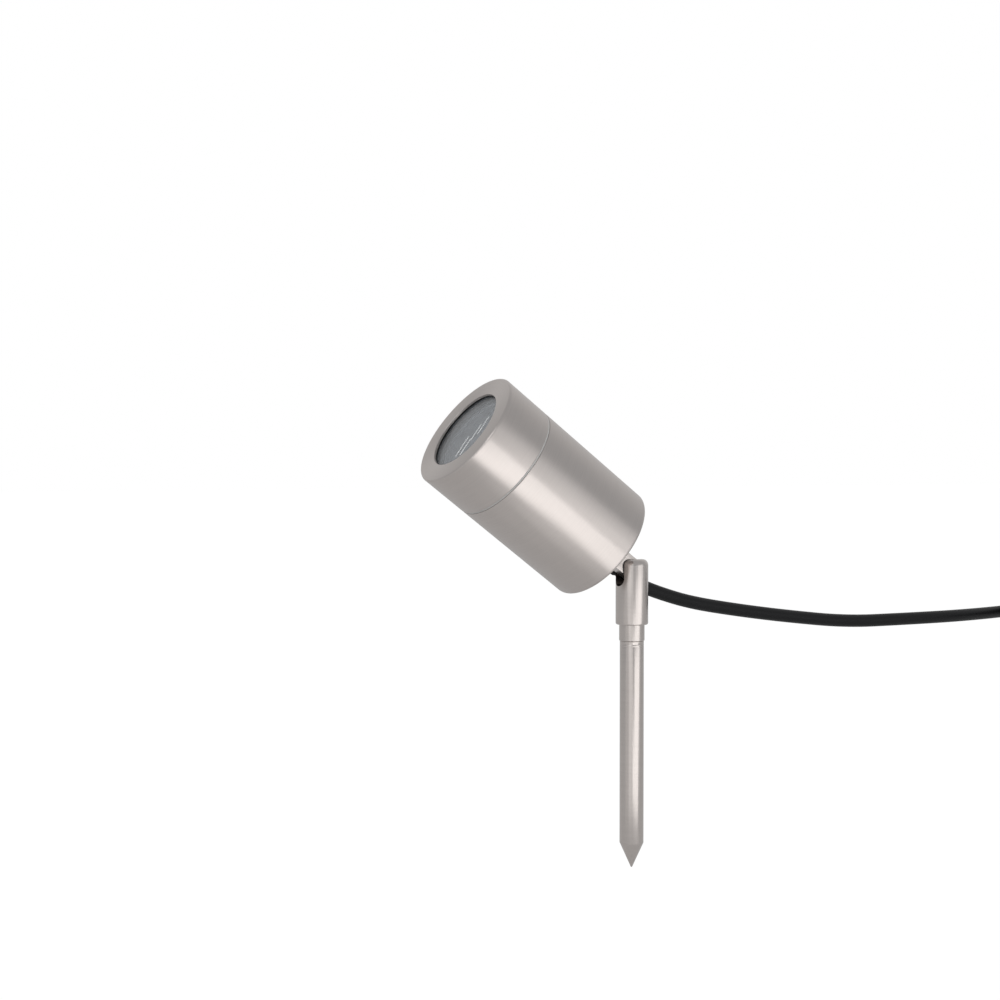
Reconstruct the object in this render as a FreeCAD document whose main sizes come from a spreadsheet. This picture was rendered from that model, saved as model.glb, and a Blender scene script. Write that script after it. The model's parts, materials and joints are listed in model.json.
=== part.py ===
import FreeCAD, Part
import math
import os
import re

import Sketcher

# Garden spike spotlight: a cylindrical head with a screwed bezel tilts on a
# slotted post, and the post is screwed onto a pointed ground spike.
#
# World frame, in millimetres: +Z up, the spike's axis is Z, and z = 0 is the joint
# of post and spike.  The lamp shines towards -Y, and the head tilts about X.
#
# Head frame: origin on the pivot, z along the beam, x as the world's X.  Every
# piece of the head is built in that frame and placed by HEAD.

doc = FreeCAD.newDocument("garden_spike_spotlight")

SIZES = {
    # Head: its diameter and length follow from the lamp, the walls and the clearances
    "lamp_clearance": 1.0,
    "pivot_to_rear": 22.7,
    "tilt": 36.5,
    "housing_wall": 3.5,
    "rear_wall": 4.0,
    "rear_rounding": 2.0,
    # Bezel, glass and seals
    "bezel_length": 25.2,
    "bezel_wall": 2.25,
    "bezel_edge": 1.0,
    "lip_thickness": 1.2,
    "lip_overlap": 6.85,
    "thread_clearance": 0.15,
    "spigot_wall": 1.6,
    "seam_width": 0.9,
    "seam_inset": 0.3,
    "front_gasket_thickness": 0.8,
    "rear_gasket_thickness": 1.5,
    "rear_gasket_width": 3.0,
    "glass_thickness": 4.0,
    "glass_clearance": 0.5,
    # Post, spike and stud
    "post_diameter": 16.0,
    "post_height": 32.2,
    "post_rounding": 3.0,
    "post_bevel": 0.8,
    "collar_height": 8.0,
    "collar_top_diameter": 12.5,
    "collar_bottom_diameter": 12.0,
    "spike_diameter": 11.8,
    "spike_length": 112.0,
    "point_length": 12.3,
    "point_tip_diameter": 0.6,
    "groove_below_joint": 1.8,
    "groove_width": 0.6,
    "groove_depth": 0.3,
    "joint_bevel": 0.3,
    "stud_diameter": 8.0,
    "stud_half_length": 10.0,
    "stud_clearance": 0.05,
    # Tilt joint
    "slot_width": 7.6,
    "slot_depth": 13.2,
    "pivot_drop": 5.8,
    "lug_thickness": 6.4,
    "lug_width": 10.0,
    "foot_thickness": 3.0,
    "foot_width": 9.0,
    "foot_below": 5.5,
    "foot_above": 15.0,
    "foot_rounding": 4.0,
    "pivot_screw_diameter": 4.0,
    "pivot_head_diameter": 7.4,
    "pivot_head_height": 2.0,
    "pivot_sink": 0.5,
    "pivot_blind_wall": 1.3,
    "pivot_clearance": 0.05,
    "washer_diameter": 7.0,
    "hex_socket_width": 2.5,
    "hex_socket_depth": 1.4,
    # Lug screws, from inside the housing
    "lug_screw_diameter": 4.0,
    "lug_screw_spacing": 10.0,
    "lug_screw_bite": 2.6,
    "screw_head_diameter": 6.8,
    "screw_head_height": 2.4,
    "screw_clearance": 0.05,
    # Cord entry
    "cord_diameter": 6.8,
    "gland_offset": 13.0,
    "gland_shank_diameter": 12.0,
    "gland_flats": 14.0,
    "gland_flange_height": 2.5,
    "gland_nut_height": 3.6,
    "gland_nut_diameter": 16.6,
    "gland_cap_height": 7.0,
    "gland_cap_diameter": 14.0,
    "gland_cap_nose_diameter": 12.4,
    "flute_radius": 1.0,
    "flute_depth": 0.45,
    "gland_seal_wall": 1.2,
    "gland_clearance": 0.05,
    "relief_length": 20.0,
    "relief_top_diameter": 10.0,
    "relief_end_diameter": 8.0,
    "relief_rib_pitch": 2.2,
    "relief_groove_width": 1.0,
    "relief_groove_wall": 0.35,
    "sheath_inside": 1.0,
    # Lamp
    "lamp_diameter": 50.0,
    "lamp_length": 47.0,
    "lamp_to_glass": 4.0,
    "lamp_base_diameter": 27.0,
    "lamp_neck_height": 14.0,
    "lamp_rim_height": 6.0,
    "lens_rim": 2.0,
    "lens_thickness": 1.6,
    "pin_spacing": 10.0,
    "pin_diameter": 3.0,
    "pin_head_diameter": 5.0,
    "pin_head_height": 3.0,
    "pin_length": 7.0,
    "reflector_rounding": 22.0,
    # Lamp holder and its bracket
    "holder_diameter": 27.0,
    "holder_height": 16.0,
    "slot_clearance": 0.3,
    "contact_thickness": 1.0,
    "contact_gap": 0.3,
    "twist_angle": 45.0,
    "bracket_width": 12.0,
    "bracket_thickness": 1.2,
    "bracket_clearance": 2.2,
    "bracket_foot": 7.0,
    "small_screw_diameter": 3.0,
    "small_head_diameter": 5.4,
    "small_head_height": 2.0,
    "small_screw_bite": 2.5,
    # Terminal block and wires
    "block_length": 18.0,
    "block_width": 11.0,
    "block_height": 11.0,
    "block_offset": 8.0,
    "wire_bend": 2.6,
    "wire_entry_drop": 2.4,
    "lead_spacing": 8.0,
    "lead_length": 4.5,
    "entry_depth": 1.0,
    "entry_clearance": 0.2,
    "screw_well_depth": 2.5,
    "screw_slot_width": 0.7,
    "screw_slot_depth": 0.8,
    "earth_x": -1.0,
    "earth_from_wall": 12.5,
    "earth_tag_thickness": 0.8,
    "earth_barrel_offset": 6.0,
    "earth_barrel_diameter": 3.6,
    "earth_barrel_height": 5.0,
    # Cord on the ground
    "ground_drop": 2.0,
    "coil_centre_x": 21.5,
    "coil_centre_y": 302.0,
    "coil_mean_radius": 39.0,
    "coil_turns_wide": 3.0,
    "coil_turns_high": 2.0,
    "coil_rounding": 3.0,
    "tie_width": 6.0,
    "tie_thickness": 1.2,
    "tie_sag": 0.2,
    "tie_bearing": -75.0,
    "core_diameter": 2.2,
    "core_spread": 1.65,
    "core_length": 22.0,
    "core_step": 4.0,
    "ferrule_diameter": 2.8,
    "ferrule_length": 8.0,
}

sheet = doc.addObject("Spreadsheet::Sheet", "Sizes")
for row, (alias, number) in enumerate(SIZES.items(), start=1):
    sheet.set(f"A{row}", alias)
    sheet.set(f"B{row}", str(number))
    sheet.setAlias(f"B{row}", alias)
doc.recompute()

# Places along the beam, in the head frame, as formulas of the sheet's sizes.  The
# pieces stack up from the rear wall to the bezel's lip.
REAR = "pivot_to_rear"
REAR_INSIDE = "(pivot_to_rear + rear_wall)"
WIRING_ROOM = "(block_height + lead_length)"
HOLDER_REAR = f"({REAR_INSIDE} + {WIRING_ROOM})"
LAMP_BASE = f"({HOLDER_REAR} + holder_height)"
LAMP_FRONT = f"({LAMP_BASE} + lamp_length)"
GLASS_REAR = f"({LAMP_FRONT} + lamp_to_glass)"
GLASS_FRONT = f"({GLASS_REAR} + glass_thickness)"
LIP_INSIDE = f"({GLASS_FRONT} + front_gasket_thickness)"
FRONT = f"({LIP_INSIDE} + lip_thickness)"
SPIGOT_FRONT = f"({GLASS_REAR} - rear_gasket_thickness)"
BEZEL_REAR = f"({FRONT} - bezel_length)"
SHOULDER = f"({BEZEL_REAR} - seam_width)"

# Radii shared by the pieces that fit each other, from the lamp outwards.
LAMP_RADIUS = "(lamp_diameter / 2)"
SPIGOT_BORE = f"({LAMP_RADIUS} + lamp_clearance)"
SPIGOT_RADIUS = f"({SPIGOT_BORE} + spigot_wall)"
BEZEL_BORE = f"({SPIGOT_RADIUS} + thread_clearance)"
HEAD_RADIUS = f"({BEZEL_BORE} + bezel_wall)"
HOUSING_BORE = f"({HEAD_RADIUS} - housing_wall)"
GLASS_RADIUS = f"({BEZEL_BORE} - glass_clearance)"
OPENING_RADIUS = f"({GLASS_RADIUS} - lip_overlap)"

# Heights on the post, in the world frame.
POST_TOP = "(collar_height + post_height)"
PIVOT_HEIGHT = f"({POST_TOP} - pivot_drop)"
SLOT_RADIUS = "(slot_width / 2)"
SLOT_FLOOR_CENTRE = f"({POST_TOP} - slot_depth + {SLOT_RADIUS})"


def linked(formula):
    """Return the formula with every size's name as a reference to the sheet."""
    def reference(word):
        name = word.group()
        return "Sizes." + name if name in SIZES else name
    return re.sub(r"[a-z_]+", reference, str(formula))


def value(formula):
    """Return the number that a formula of the sheet's sizes stands for."""
    return float(sheet.evalExpression(linked(formula)))


def vector(x, y, z):
    return FreeCAD.Vector(value(x), value(y), value(z))


HEAD = FreeCAD.Placement(
    vector(0, 0, PIVOT_HEIGHT),
    FreeCAD.Rotation(FreeCAD.Vector(1, 0, 0), 90 - value("tilt")),
)
WORLD = FreeCAD.Placement()
ALONG_X = FreeCAD.Rotation(FreeCAD.Vector(0, 1, 0), 90)
ALONG_Y = FreeCAD.Rotation(FreeCAD.Vector(1, 0, 0), -90)
UPRIGHT = FreeCAD.Rotation()

nodes = []


def on_head(x=0, y=0, z=0):
    """Placement of a piece whose own origin lies at x, y, z of the head frame."""
    return HEAD.multiply(FreeCAD.Placement(vector(x, y, z), UPRIGHT))


def new_body(label, placement=WORLD):
    """Start a sub-part: its label is the name of its file."""
    body = doc.addObject("PartDesign::Body", label)
    body.Label = label
    body.Placement = placement
    nodes.append(body)
    return body


def datum(body, role):
    """Return one of the planes or axes of the body's own origin."""
    return next(item for item in body.Origin.OriginFeatures if item.Role == role)


def outline(body, corners, role="XZ_Plane"):
    """Sketch a closed outline whose corners follow the sheet's sizes."""
    sketch = body.newObject("Sketcher::SketchObject", body.Label + "_outline")
    sketch.AttachmentSupport = [(datum(body, role), "")]
    sketch.MapMode = "FlatFace"
    places = [vector(across, up, 0) for across, up in corners]
    count = len(places)
    for index, start in enumerate(places):
        sketch.addGeometry(Part.LineSegment(start, places[(index + 1) % count]))
    for index in range(count):
        following = (index + 1) % count
        sketch.addConstraint(Sketcher.Constraint("Coincident", index, 2, following, 1))
    for index, (across, up) in enumerate(corners):
        for kind, formula in (("DistanceX", across), ("DistanceY", up)):
            rule = Sketcher.Constraint(kind, -1, 1, index, 1, value(formula))
            number = sketch.addConstraint(rule)
            sketch.setExpression(f"Constraints[{number}]", linked(formula))
    return sketch


def turned(label, corners, placement=WORLD):
    """Turn an outline of (radius, height) corners about the piece's own Z axis."""
    body = new_body(label, placement)
    sketch = outline(body, corners)
    turn = body.newObject("PartDesign::Revolution", label + "_turned")
    turn.Profile = sketch
    turn.ReferenceAxis = (sketch, ["V_Axis"])
    turn.Angle = 360
    sketch.Visibility = False
    return body


def ring(label, inner, outer, low, high, placement=WORLD):
    """Turn a plain ring, or a disc where the inner radius is 0."""
    corners = [(inner, low), (outer, low), (outer, high), (inner, high)]
    return turned(label, corners, placement)


def feature(body, kind, sizes, place=(0, 0, 0), rotation=UPRIGHT):
    """Add a primitive to the body, with its sizes and place tied to the sheet."""
    item = body.newObject("PartDesign::" + kind, f"{body.Label}_{kind}")
    for name, formula in sizes.items():
        if isinstance(formula, int):
            setattr(item, name, formula)
        else:
            item.setExpression(name, linked(formula))
    item.Placement = FreeCAD.Placement(vector(*place), rotation)
    for axis, formula in zip("xyz", place):
        item.setExpression(f"Placement.Base.{axis}", linked(formula))
    return item


def cylinder(body, kind, radius, height, place, rotation=UPRIGHT):
    sizes = {"Radius": radius, "Height": height}
    return feature(body, kind + "Cylinder", sizes, place, rotation)


def box(body, kind, size, low_corner):
    sizes = dict(zip(("Length", "Width", "Height"), size))
    return feature(body, kind + "Box", sizes, low_corner)


def hexagon(body, kind, flats, height, place, rotation=UPRIGHT):
    """Add or cut a hexagonal prism of the given width across flats."""
    sizes = {"Polygon": 6, "Circumradius": f"({flats}) / sqrt(3)", "Height": height}
    return feature(body, kind + "Prism", sizes, place, rotation)


def rounded(body, radius, wanted):
    """Fillet the edges of the body's last feature for which wanted(edge) is true."""
    doc.recompute()
    base = body.Tip
    names = [f"Edge{number}" for number, edge in enumerate(base.Shape.Edges, start=1)
             if wanted(edge)]
    if not names:
        raise RuntimeError(f"{body.Label}: no edge to round")
    fillet = body.newObject("PartDesign::Fillet", body.Label + "_rounded")
    fillet.Base = (base, names)
    fillet.setExpression("Radius", linked(radius))
    return fillet


def circle_at(height, radius):
    """Return a test for a full circular edge about Z of the given height and radius."""
    def wanted(edge):
        curve = edge.Curve
        if not isinstance(curve, Part.Circle):
            return False
        same_height = abs(curve.Center.z - value(height)) < 0.01
        return same_height and abs(curve.Radius - value(radius)) < 0.01
    return wanted


# ---------------------------------------------------------------- spike and post

def make_spike():
    """Solid rod with a turned point, bored and threaded for the stud."""
    radius = "spike_diameter / 2"
    tip = "point_tip_diameter / 2"
    bore = "stud_diameter / 2 + stud_clearance"
    bore_floor = "-stud_half_length - 1"
    turned("spike", [
        (0, "-spike_length"),
        (tip, "-spike_length"),
        (radius, "-spike_length + point_length"),
        (radius, "-groove_below_joint - groove_width"),
        (f"{radius} - groove_depth", "-groove_below_joint - groove_width"),
        (f"{radius} - groove_depth", "-groove_below_joint"),
        (radius, "-groove_below_joint"),
        (radius, "-joint_bevel"),
        (f"{radius} - joint_bevel", 0),
        (bore, 0),
        (bore, bore_floor),
        (0, bore_floor),
    ])


def make_stud():
    """Threaded stud, half in the spike and half in the post's collar."""
    ring("stud", 0, "stud_diameter / 2", "-stud_half_length", "stud_half_length")


def make_post():
    """Turned post with a collar, a slot with a round floor and the pivot's hole."""
    radius = "post_diameter / 2"
    bore = "stud_diameter / 2 + stud_clearance"
    bore_end = "stud_half_length + 1"
    body = turned("post", [
        (bore, 0),
        ("collar_bottom_diameter / 2", 0),
        ("collar_top_diameter / 2", "collar_height / 3"),
        ("collar_top_diameter / 2", "collar_height"),
        (f"{radius} - post_bevel", "collar_height"),
        (radius, "collar_height + post_bevel"),
        (radius, POST_TOP),
        (0, POST_TOP),
        (0, bore_end),
        (bore, bore_end),
    ])
    rounded(body, "post_rounding", circle_at(POST_TOP, radius))
    depth = f"{POST_TOP} - {SLOT_FLOOR_CENTRE}"
    box(body, "Subtractive", ("slot_width", "post_diameter", depth),
        (f"-{SLOT_RADIUS}", f"-{radius}", SLOT_FLOOR_CENTRE))
    cylinder(body, "Subtractive", SLOT_RADIUS, "post_diameter",
             (0, f"-{radius}", SLOT_FLOOR_CENTRE), ALONG_Y)
    # The screw's hole is blind in the near cheek and countersunk in the far one.
    hole = "pivot_screw_diameter / 2 + pivot_clearance"
    hole_length = f"{radius} + {radius} - pivot_blind_wall"
    cylinder(body, "Subtractive", hole, hole_length,
             (f"-{radius}", 0, PIVOT_HEIGHT), ALONG_X)
    head_radius = "pivot_head_diameter / 2 + pivot_clearance"
    cylinder(body, "Subtractive", head_radius, "pivot_sink",
             (f"-{radius}", 0, PIVOT_HEIGHT), ALONG_X)
    feature(body, "SubtractiveCone",
            {"Radius1": head_radius, "Radius2": hole, "Height": "pivot_head_height"},
            (f"-{radius} + pivot_sink", 0, PIVOT_HEIGHT), ALONG_X)
    doc.recompute()


def make_pivot_screw():
    """Countersunk screw with a hexagon socket, along X through the lug."""
    shank = "pivot_screw_diameter / 2"
    length = "post_diameter - pivot_sink - pivot_blind_wall - 0.2"
    start = vector("-post_diameter / 2 + pivot_sink", 0, PIVOT_HEIGHT)
    body = turned("pivot_screw", [
        (0, 0),
        ("pivot_head_diameter / 2", 0),
        (shank, "pivot_head_height"),
        (shank, length),
        (0, length),
    ], FreeCAD.Placement(start, ALONG_X))
    hexagon(body, "Subtractive", "hex_socket_width", "hex_socket_depth", (0, 0, 0))


def make_pivot_washers():
    """Two plain friction washers that fill the slot on each side of the lug."""
    thickness = "(slot_width - lug_thickness) / 2"
    bore = "pivot_screw_diameter / 2 + pivot_clearance"
    body = new_body("pivot_washers")
    for low in (f"-{SLOT_RADIUS}", "lug_thickness / 2"):
        cylinder(body, "Additive", "washer_diameter / 2", thickness,
                 (low, 0, PIVOT_HEIGHT), ALONG_X)
    cylinder(body, "Subtractive", bore, "slot_width",
             (f"-{SLOT_RADIUS}", 0, PIVOT_HEIGHT), ALONG_X)


# ------------------------------------------------------------------ housing

def make_housing():
    """Cup with a thick rear wall and a threaded spigot for the bezel."""
    body = turned("housing", [
        (0, REAR),
        (HEAD_RADIUS, REAR),
        (HEAD_RADIUS, SHOULDER),
        (SPIGOT_RADIUS, SHOULDER),
        (SPIGOT_RADIUS, SPIGOT_FRONT),
        (SPIGOT_BORE, SPIGOT_FRONT),
        (SPIGOT_BORE, SHOULDER),
        (HOUSING_BORE, SHOULDER + " - 2"),
        (HOUSING_BORE, REAR_INSIDE),
        (0, REAR_INSIDE),
    ], HEAD)
    rounded(body, "rear_rounding", circle_at(REAR, HEAD_RADIUS))
    cylinder(body, "Subtractive", "gland_shank_diameter / 2 + gland_clearance",
             "rear_wall", ("-gland_offset", 0, REAR))
    hole = "lug_screw_diameter / 2 + screw_clearance"
    for y in (0, "lug_screw_spacing"):
        cylinder(body, "Subtractive", hole, "rear_wall", (0, y, REAR))
    small = "small_screw_diameter / 2 + screw_clearance"
    for x, y in small_screw_places():
        cylinder(body, "Subtractive", small, "small_screw_bite",
                 (x, y, f"{REAR_INSIDE} - small_screw_bite"))
    doc.recompute()


EARTH_Y = f"(earth_from_wall - {HOUSING_BORE})"
BRACKET_REACH = f"({HOUSING_BORE} - bracket_clearance)"
BRACKET_HALF_SPAN = f"({BRACKET_REACH} - bracket_foot + bracket_thickness)"


def bracket_screw_y():
    """The screw goes through the middle of the foot's free part."""
    return f"({BRACKET_REACH} - (bracket_foot - bracket_thickness) / 2)"


def small_screw_places():
    """Blind holes in the rear wall: two for the bracket, one for the earth tag."""
    across = bracket_screw_y()
    return [(0, across), (0, f"-{across}"), ("earth_x", EARTH_Y)]


def make_lug():
    """Milled lug: a foot on the rear wall and an arm with a round, bored end."""
    body = new_body("lug", HEAD)
    arm = f"({REAR} - foot_thickness)"
    half = "lug_thickness / 2"
    cylinder(body, "Additive", "lug_width / 2", "lug_thickness",
             (f"-{half}", 0, 0), ALONG_X)
    box(body, "Additive", ("lug_thickness", "lug_width", arm),
        (f"-{half}", "-lug_width / 2", 0))
    box(body, "Additive",
        ("foot_width", "foot_below + foot_above", "foot_thickness"),
        ("-foot_width / 2", "-foot_below", arm))

    def inner_corner(edge):
        middle = edge.CenterOfMass
        level = abs(middle.z - value(arm)) < 0.01
        return level and abs(middle.y - value("lug_width / 2")) < 0.01 and \
            edge.Length < value("lug_thickness") + 0.01
    rounded(body, "foot_rounding", inner_corner)
    cylinder(body, "Subtractive", "pivot_screw_diameter / 2 + pivot_clearance",
             "lug_thickness", (f"-{half}", 0, 0), ALONG_X)
    hole = "lug_screw_diameter / 2 + screw_clearance"
    for y in (0, "lug_screw_spacing"):
        cylinder(body, "Subtractive", hole, "lug_screw_bite",
                 (0, y, f"{REAR} - lug_screw_bite"))
    doc.recompute()


def screws(label, places, shank, head, head_height, bite, face, lift=0):
    """Pan-head screws that enter the rear wall from inside, as one group."""
    body = new_body(label, HEAD)
    for x, y in places:
        cylinder(body, "Additive", f"{shank} / 2", f"{bite} + {lift}", (x, y, f"{face} - {bite}"))
        cylinder(body, "Additive", f"{head} / 2", head_height, (x, y, f"{face} + {lift}"))
        hexagon(body, "Subtractive", f"{shank} / 2", f"{head_height} / 2",
                (x, y, f"{face} + {lift} + {head_height} / 2"))
    doc.recompute()


def make_lug_screws():
    screws("lug_screws", [(0, 0), (0, "lug_screw_spacing")], "lug_screw_diameter",
           "screw_head_diameter", "screw_head_height", "(rear_wall + lug_screw_bite)",
           REAR_INSIDE)


def make_seam_ring():
    """Pale sealing ring in the joint of housing and bezel."""
    ring("seam_ring", f"{SPIGOT_RADIUS} + thread_clearance", f"{HEAD_RADIUS} - seam_inset",
         SHOULDER, BEZEL_REAR, HEAD)


# ------------------------------------------------------------------ bezel and glass

def make_bezel():
    """Screwed front ring with an inner lip that holds the glass."""
    body = turned("bezel", [
        (BEZEL_BORE, BEZEL_REAR),
        (HEAD_RADIUS, BEZEL_REAR),
        (HEAD_RADIUS, FRONT),
        (OPENING_RADIUS, FRONT),
        (OPENING_RADIUS, LIP_INSIDE),
        (BEZEL_BORE, LIP_INSIDE),
    ], HEAD)
    rounded(body, "bezel_edge", circle_at(FRONT, HEAD_RADIUS))


def make_glass_and_gaskets():
    ring("front_gasket", OPENING_RADIUS, GLASS_RADIUS, GLASS_FRONT, LIP_INSIDE, HEAD)
    ring("glass", 0, GLASS_RADIUS, GLASS_REAR, GLASS_FRONT, HEAD)
    ring("rear_gasket", f"{GLASS_RADIUS} - rear_gasket_width", GLASS_RADIUS,
         SPIGOT_FRONT, GLASS_REAR, HEAD)


# ------------------------------------------------------------------ cord entry

CORD_RADIUS = "cord_diameter / 2"
FLANGE_REAR = f"({REAR} - gland_flange_height)"
CAP_REAR = f"({FLANGE_REAR} - gland_cap_height)"
NUT_FRONT = f"({REAR_INSIDE} + gland_nut_height)"
RELIEF_END = f"({FLANGE_REAR} - relief_length)"
RELIEF_GROOVES = 5
CAP_FLUTES = 12


def relief_radius(height):
    """The bend relief tapers evenly from the cap to its end."""
    taper = f"(relief_top_diameter - relief_end_diameter) / 2 / ({CAP_REAR} - {RELIEF_END})"
    return f"(relief_end_diameter / 2 + ({height} - {RELIEF_END}) * {taper})"


def make_relief(placement):
    """Tapered bend relief with grooves round it, rooted in the gland's cap."""
    groove = f"({CORD_RADIUS} + relief_groove_wall)"
    corners = [(CORD_RADIUS, RELIEF_END), (relief_radius(RELIEF_END), RELIEF_END)]
    for number in range(1, RELIEF_GROOVES + 1):
        low = f"({RELIEF_END} + {number} * relief_rib_pitch)"
        high = f"({low} + relief_groove_width)"
        corners += [(relief_radius(low), low), (groove, low),
                    (groove, high), (relief_radius(high), high)]
    corners += [("relief_top_diameter / 2", CAP_REAR), ("relief_top_diameter / 2", FLANGE_REAR),
                (CORD_RADIUS, FLANGE_REAR)]
    turned("strain_relief", corners, placement)


def make_cap(placement):
    """Fluted cap of the gland, bored for the root of the bend relief."""
    bore = "relief_top_diameter / 2 + gland_clearance"
    body = turned("gland_cap", [
        (bore, CAP_REAR),
        ("gland_cap_nose_diameter / 2", CAP_REAR),
        ("gland_cap_diameter / 2", f"{CAP_REAR} + gland_cap_height / 3"),
        ("gland_cap_diameter / 2", FLANGE_REAR),
        (bore, FLANGE_REAR),
    ], placement)
    flute = cylinder(body, "Subtractive", "flute_radius", "gland_cap_height",
                     ("gland_cap_diameter / 2 + flute_radius - flute_depth", 0, CAP_REAR))
    doc.recompute()
    before = body.Shape.Volume
    flutes = body.newObject("PartDesign::PolarPattern", "cap_flutes")
    flutes.Originals = [flute]
    flutes.Axis = (datum(body, "Z_Axis"), [""])
    flutes.Angle = 360
    flutes.Occurrences = CAP_FLUTES
    body.Tip = flutes
    doc.recompute()
    if body.Shape.Volume >= before:
        raise RuntimeError("the cap's flutes cut nothing")


def make_gland():
    """Cable gland beside the lug: body, inner nut, seal, cap and bend relief."""
    at_gland = on_head("-gland_offset")
    shank = "gland_shank_diameter / 2"
    body = new_body("gland_body", at_gland)
    hexagon(body, "Additive", "gland_flats", "gland_flange_height", (0, 0, FLANGE_REAR),
            FreeCAD.Rotation(FreeCAD.Vector(0, 0, 1), 30))
    cylinder(body, "Additive", shank, "rear_wall + gland_nut_height", (0, 0, REAR))
    cylinder(body, "Subtractive", f"{CORD_RADIUS} + gland_seal_wall",
             "gland_flange_height + rear_wall + gland_nut_height", (0, 0, FLANGE_REAR))
    doc.recompute()
    ring("gland_nut", f"{shank} + gland_clearance", "gland_nut_diameter / 2",
         REAR_INSIDE, NUT_FRONT, at_gland)
    ring("gland_seal", CORD_RADIUS, f"{CORD_RADIUS} + gland_seal_wall",
         FLANGE_REAR, NUT_FRONT, at_gland)
    make_cap(at_gland)
    make_relief(at_gland)
    ring("sheath_entry", 0, CORD_RADIUS, RELIEF_END, f"{NUT_FRONT} + sheath_inside", at_gland)


# ------------------------------------------------------------------ lamp and holder

def make_lamp():
    """Reflector lamp with a front lens and two headed pins."""
    base = "lamp_base_diameter / 2"
    rim = LAMP_RADIUS
    lens = f"({LAMP_RADIUS} - lens_rim)"
    shoulder = f"({LAMP_BASE} + lamp_neck_height + reflector_rounding / 2)"
    body = turned("lamp", [
        (0, LAMP_BASE),
        (base, LAMP_BASE),
        (base, f"{LAMP_BASE} + lamp_neck_height"),
        (rim, shoulder),
        (rim, LAMP_FRONT),
        (lens, LAMP_FRONT),
        (lens, f"{LAMP_FRONT} - lens_thickness"),
        (0, f"{LAMP_FRONT} - lens_thickness"),
    ], HEAD)
    rounded(body, "reflector_rounding", circle_at(shoulder, rim))
    ring("lamp_lens", 0, lens, f"{LAMP_FRONT} - lens_thickness", LAMP_FRONT, HEAD)
    pins = new_body("lamp_pins", HEAD)
    end = f"({LAMP_BASE} - pin_length)"
    for side in ("-", ""):
        x = f"{side}pin_spacing / 2"
        cylinder(pins, "Additive", "pin_diameter / 2", "pin_length", (x, 0, end))
        cylinder(pins, "Additive", "pin_head_diameter / 2", "pin_head_height", (x, 0, end))
    doc.recompute()


def arc_groove(body, name, radius_clear, low, high):
    """Cut a curved slot about the piece's axis, and repeat it half a turn on.

    The slot runs from the locked pin, on the X axis, through the lamp's twist, and
    leaves radius_clear round the pin at both ends.
    """
    centre = "pin_spacing / 2"
    corners = [(f"{centre} - {radius_clear}", low), (f"{centre} + {radius_clear}", low),
               (f"{centre} + {radius_clear}", high), (f"{centre} - {radius_clear}", high)]
    sketch = outline(body, corners)
    margin = math.degrees(math.asin(value(f"{radius_clear} / ({centre})")))
    turn_back = FreeCAD.Rotation(FreeCAD.Vector(0, 1, 0), -margin)
    sketch.AttachmentOffset = FreeCAD.Placement(FreeCAD.Vector(), turn_back)
    doc.recompute()
    before = body.Shape.Volume
    groove = body.newObject("PartDesign::Groove", name)
    groove.Profile = sketch
    groove.ReferenceAxis = (sketch, ["V_Axis"])
    groove.Angle = value("twist_angle") + 2 * margin
    doc.recompute()
    pattern = body.newObject("PartDesign::PolarPattern", name + "_pair")
    pattern.Originals = [groove]
    pattern.Axis = (sketch, ["V_Axis"])
    pattern.Angle = 360
    pattern.Occurrences = 2
    body.Tip = pattern
    doc.recompute()
    if body.Shape.Volume > before - 10:
        raise RuntimeError(f"{name} cut nothing")


CONTACT_TOP = f"({LAMP_BASE} - pin_length - contact_gap)"
CONTACT_BOTTOM = f"({CONTACT_TOP} - contact_thickness)"


def make_holder():
    """Round ceramic lamp holder with two keyhole slots for the lamp's headed pins.

    A pin's head goes in through a round hole and turns under a narrower slot.
    """
    body = ring("lamp_holder", 0, "holder_diameter / 2", HOLDER_REAR, LAMP_BASE, HEAD)
    head = "(pin_head_diameter / 2 + slot_clearance)"
    shank = "(pin_diameter / 2 + slot_clearance)"
    roof = f"{LAMP_BASE} - pin_length + pin_head_height + slot_clearance"
    arc_groove(body, "pin_slot", shank, CONTACT_BOTTOM, LAMP_BASE)
    arc_groove(body, "pin_head_cavity", head, CONTACT_BOTTOM, roof)
    depth = f"{LAMP_BASE} - ({CONTACT_BOTTOM})"
    for half_turn in (0, 180):
        bearing = f"(twist_angle + {half_turn}) * 1deg"
        place = (f"pin_spacing / 2 * cos({bearing})",
                 f"pin_spacing / 2 * sin({bearing})", CONTACT_BOTTOM)
        cylinder(body, "Subtractive", head, depth, place)
    doc.recompute()


def make_contacts():
    contacts = new_body("holder_contacts", HEAD)
    size = "pin_diameter"
    for side in ("-", ""):
        box(contacts, "Additive", (size, size, "contact_thickness"),
            (f"{side}pin_spacing / 2 - {size} / 2", f"-{size} / 2", CONTACT_BOTTOM))
    doc.recompute()


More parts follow.
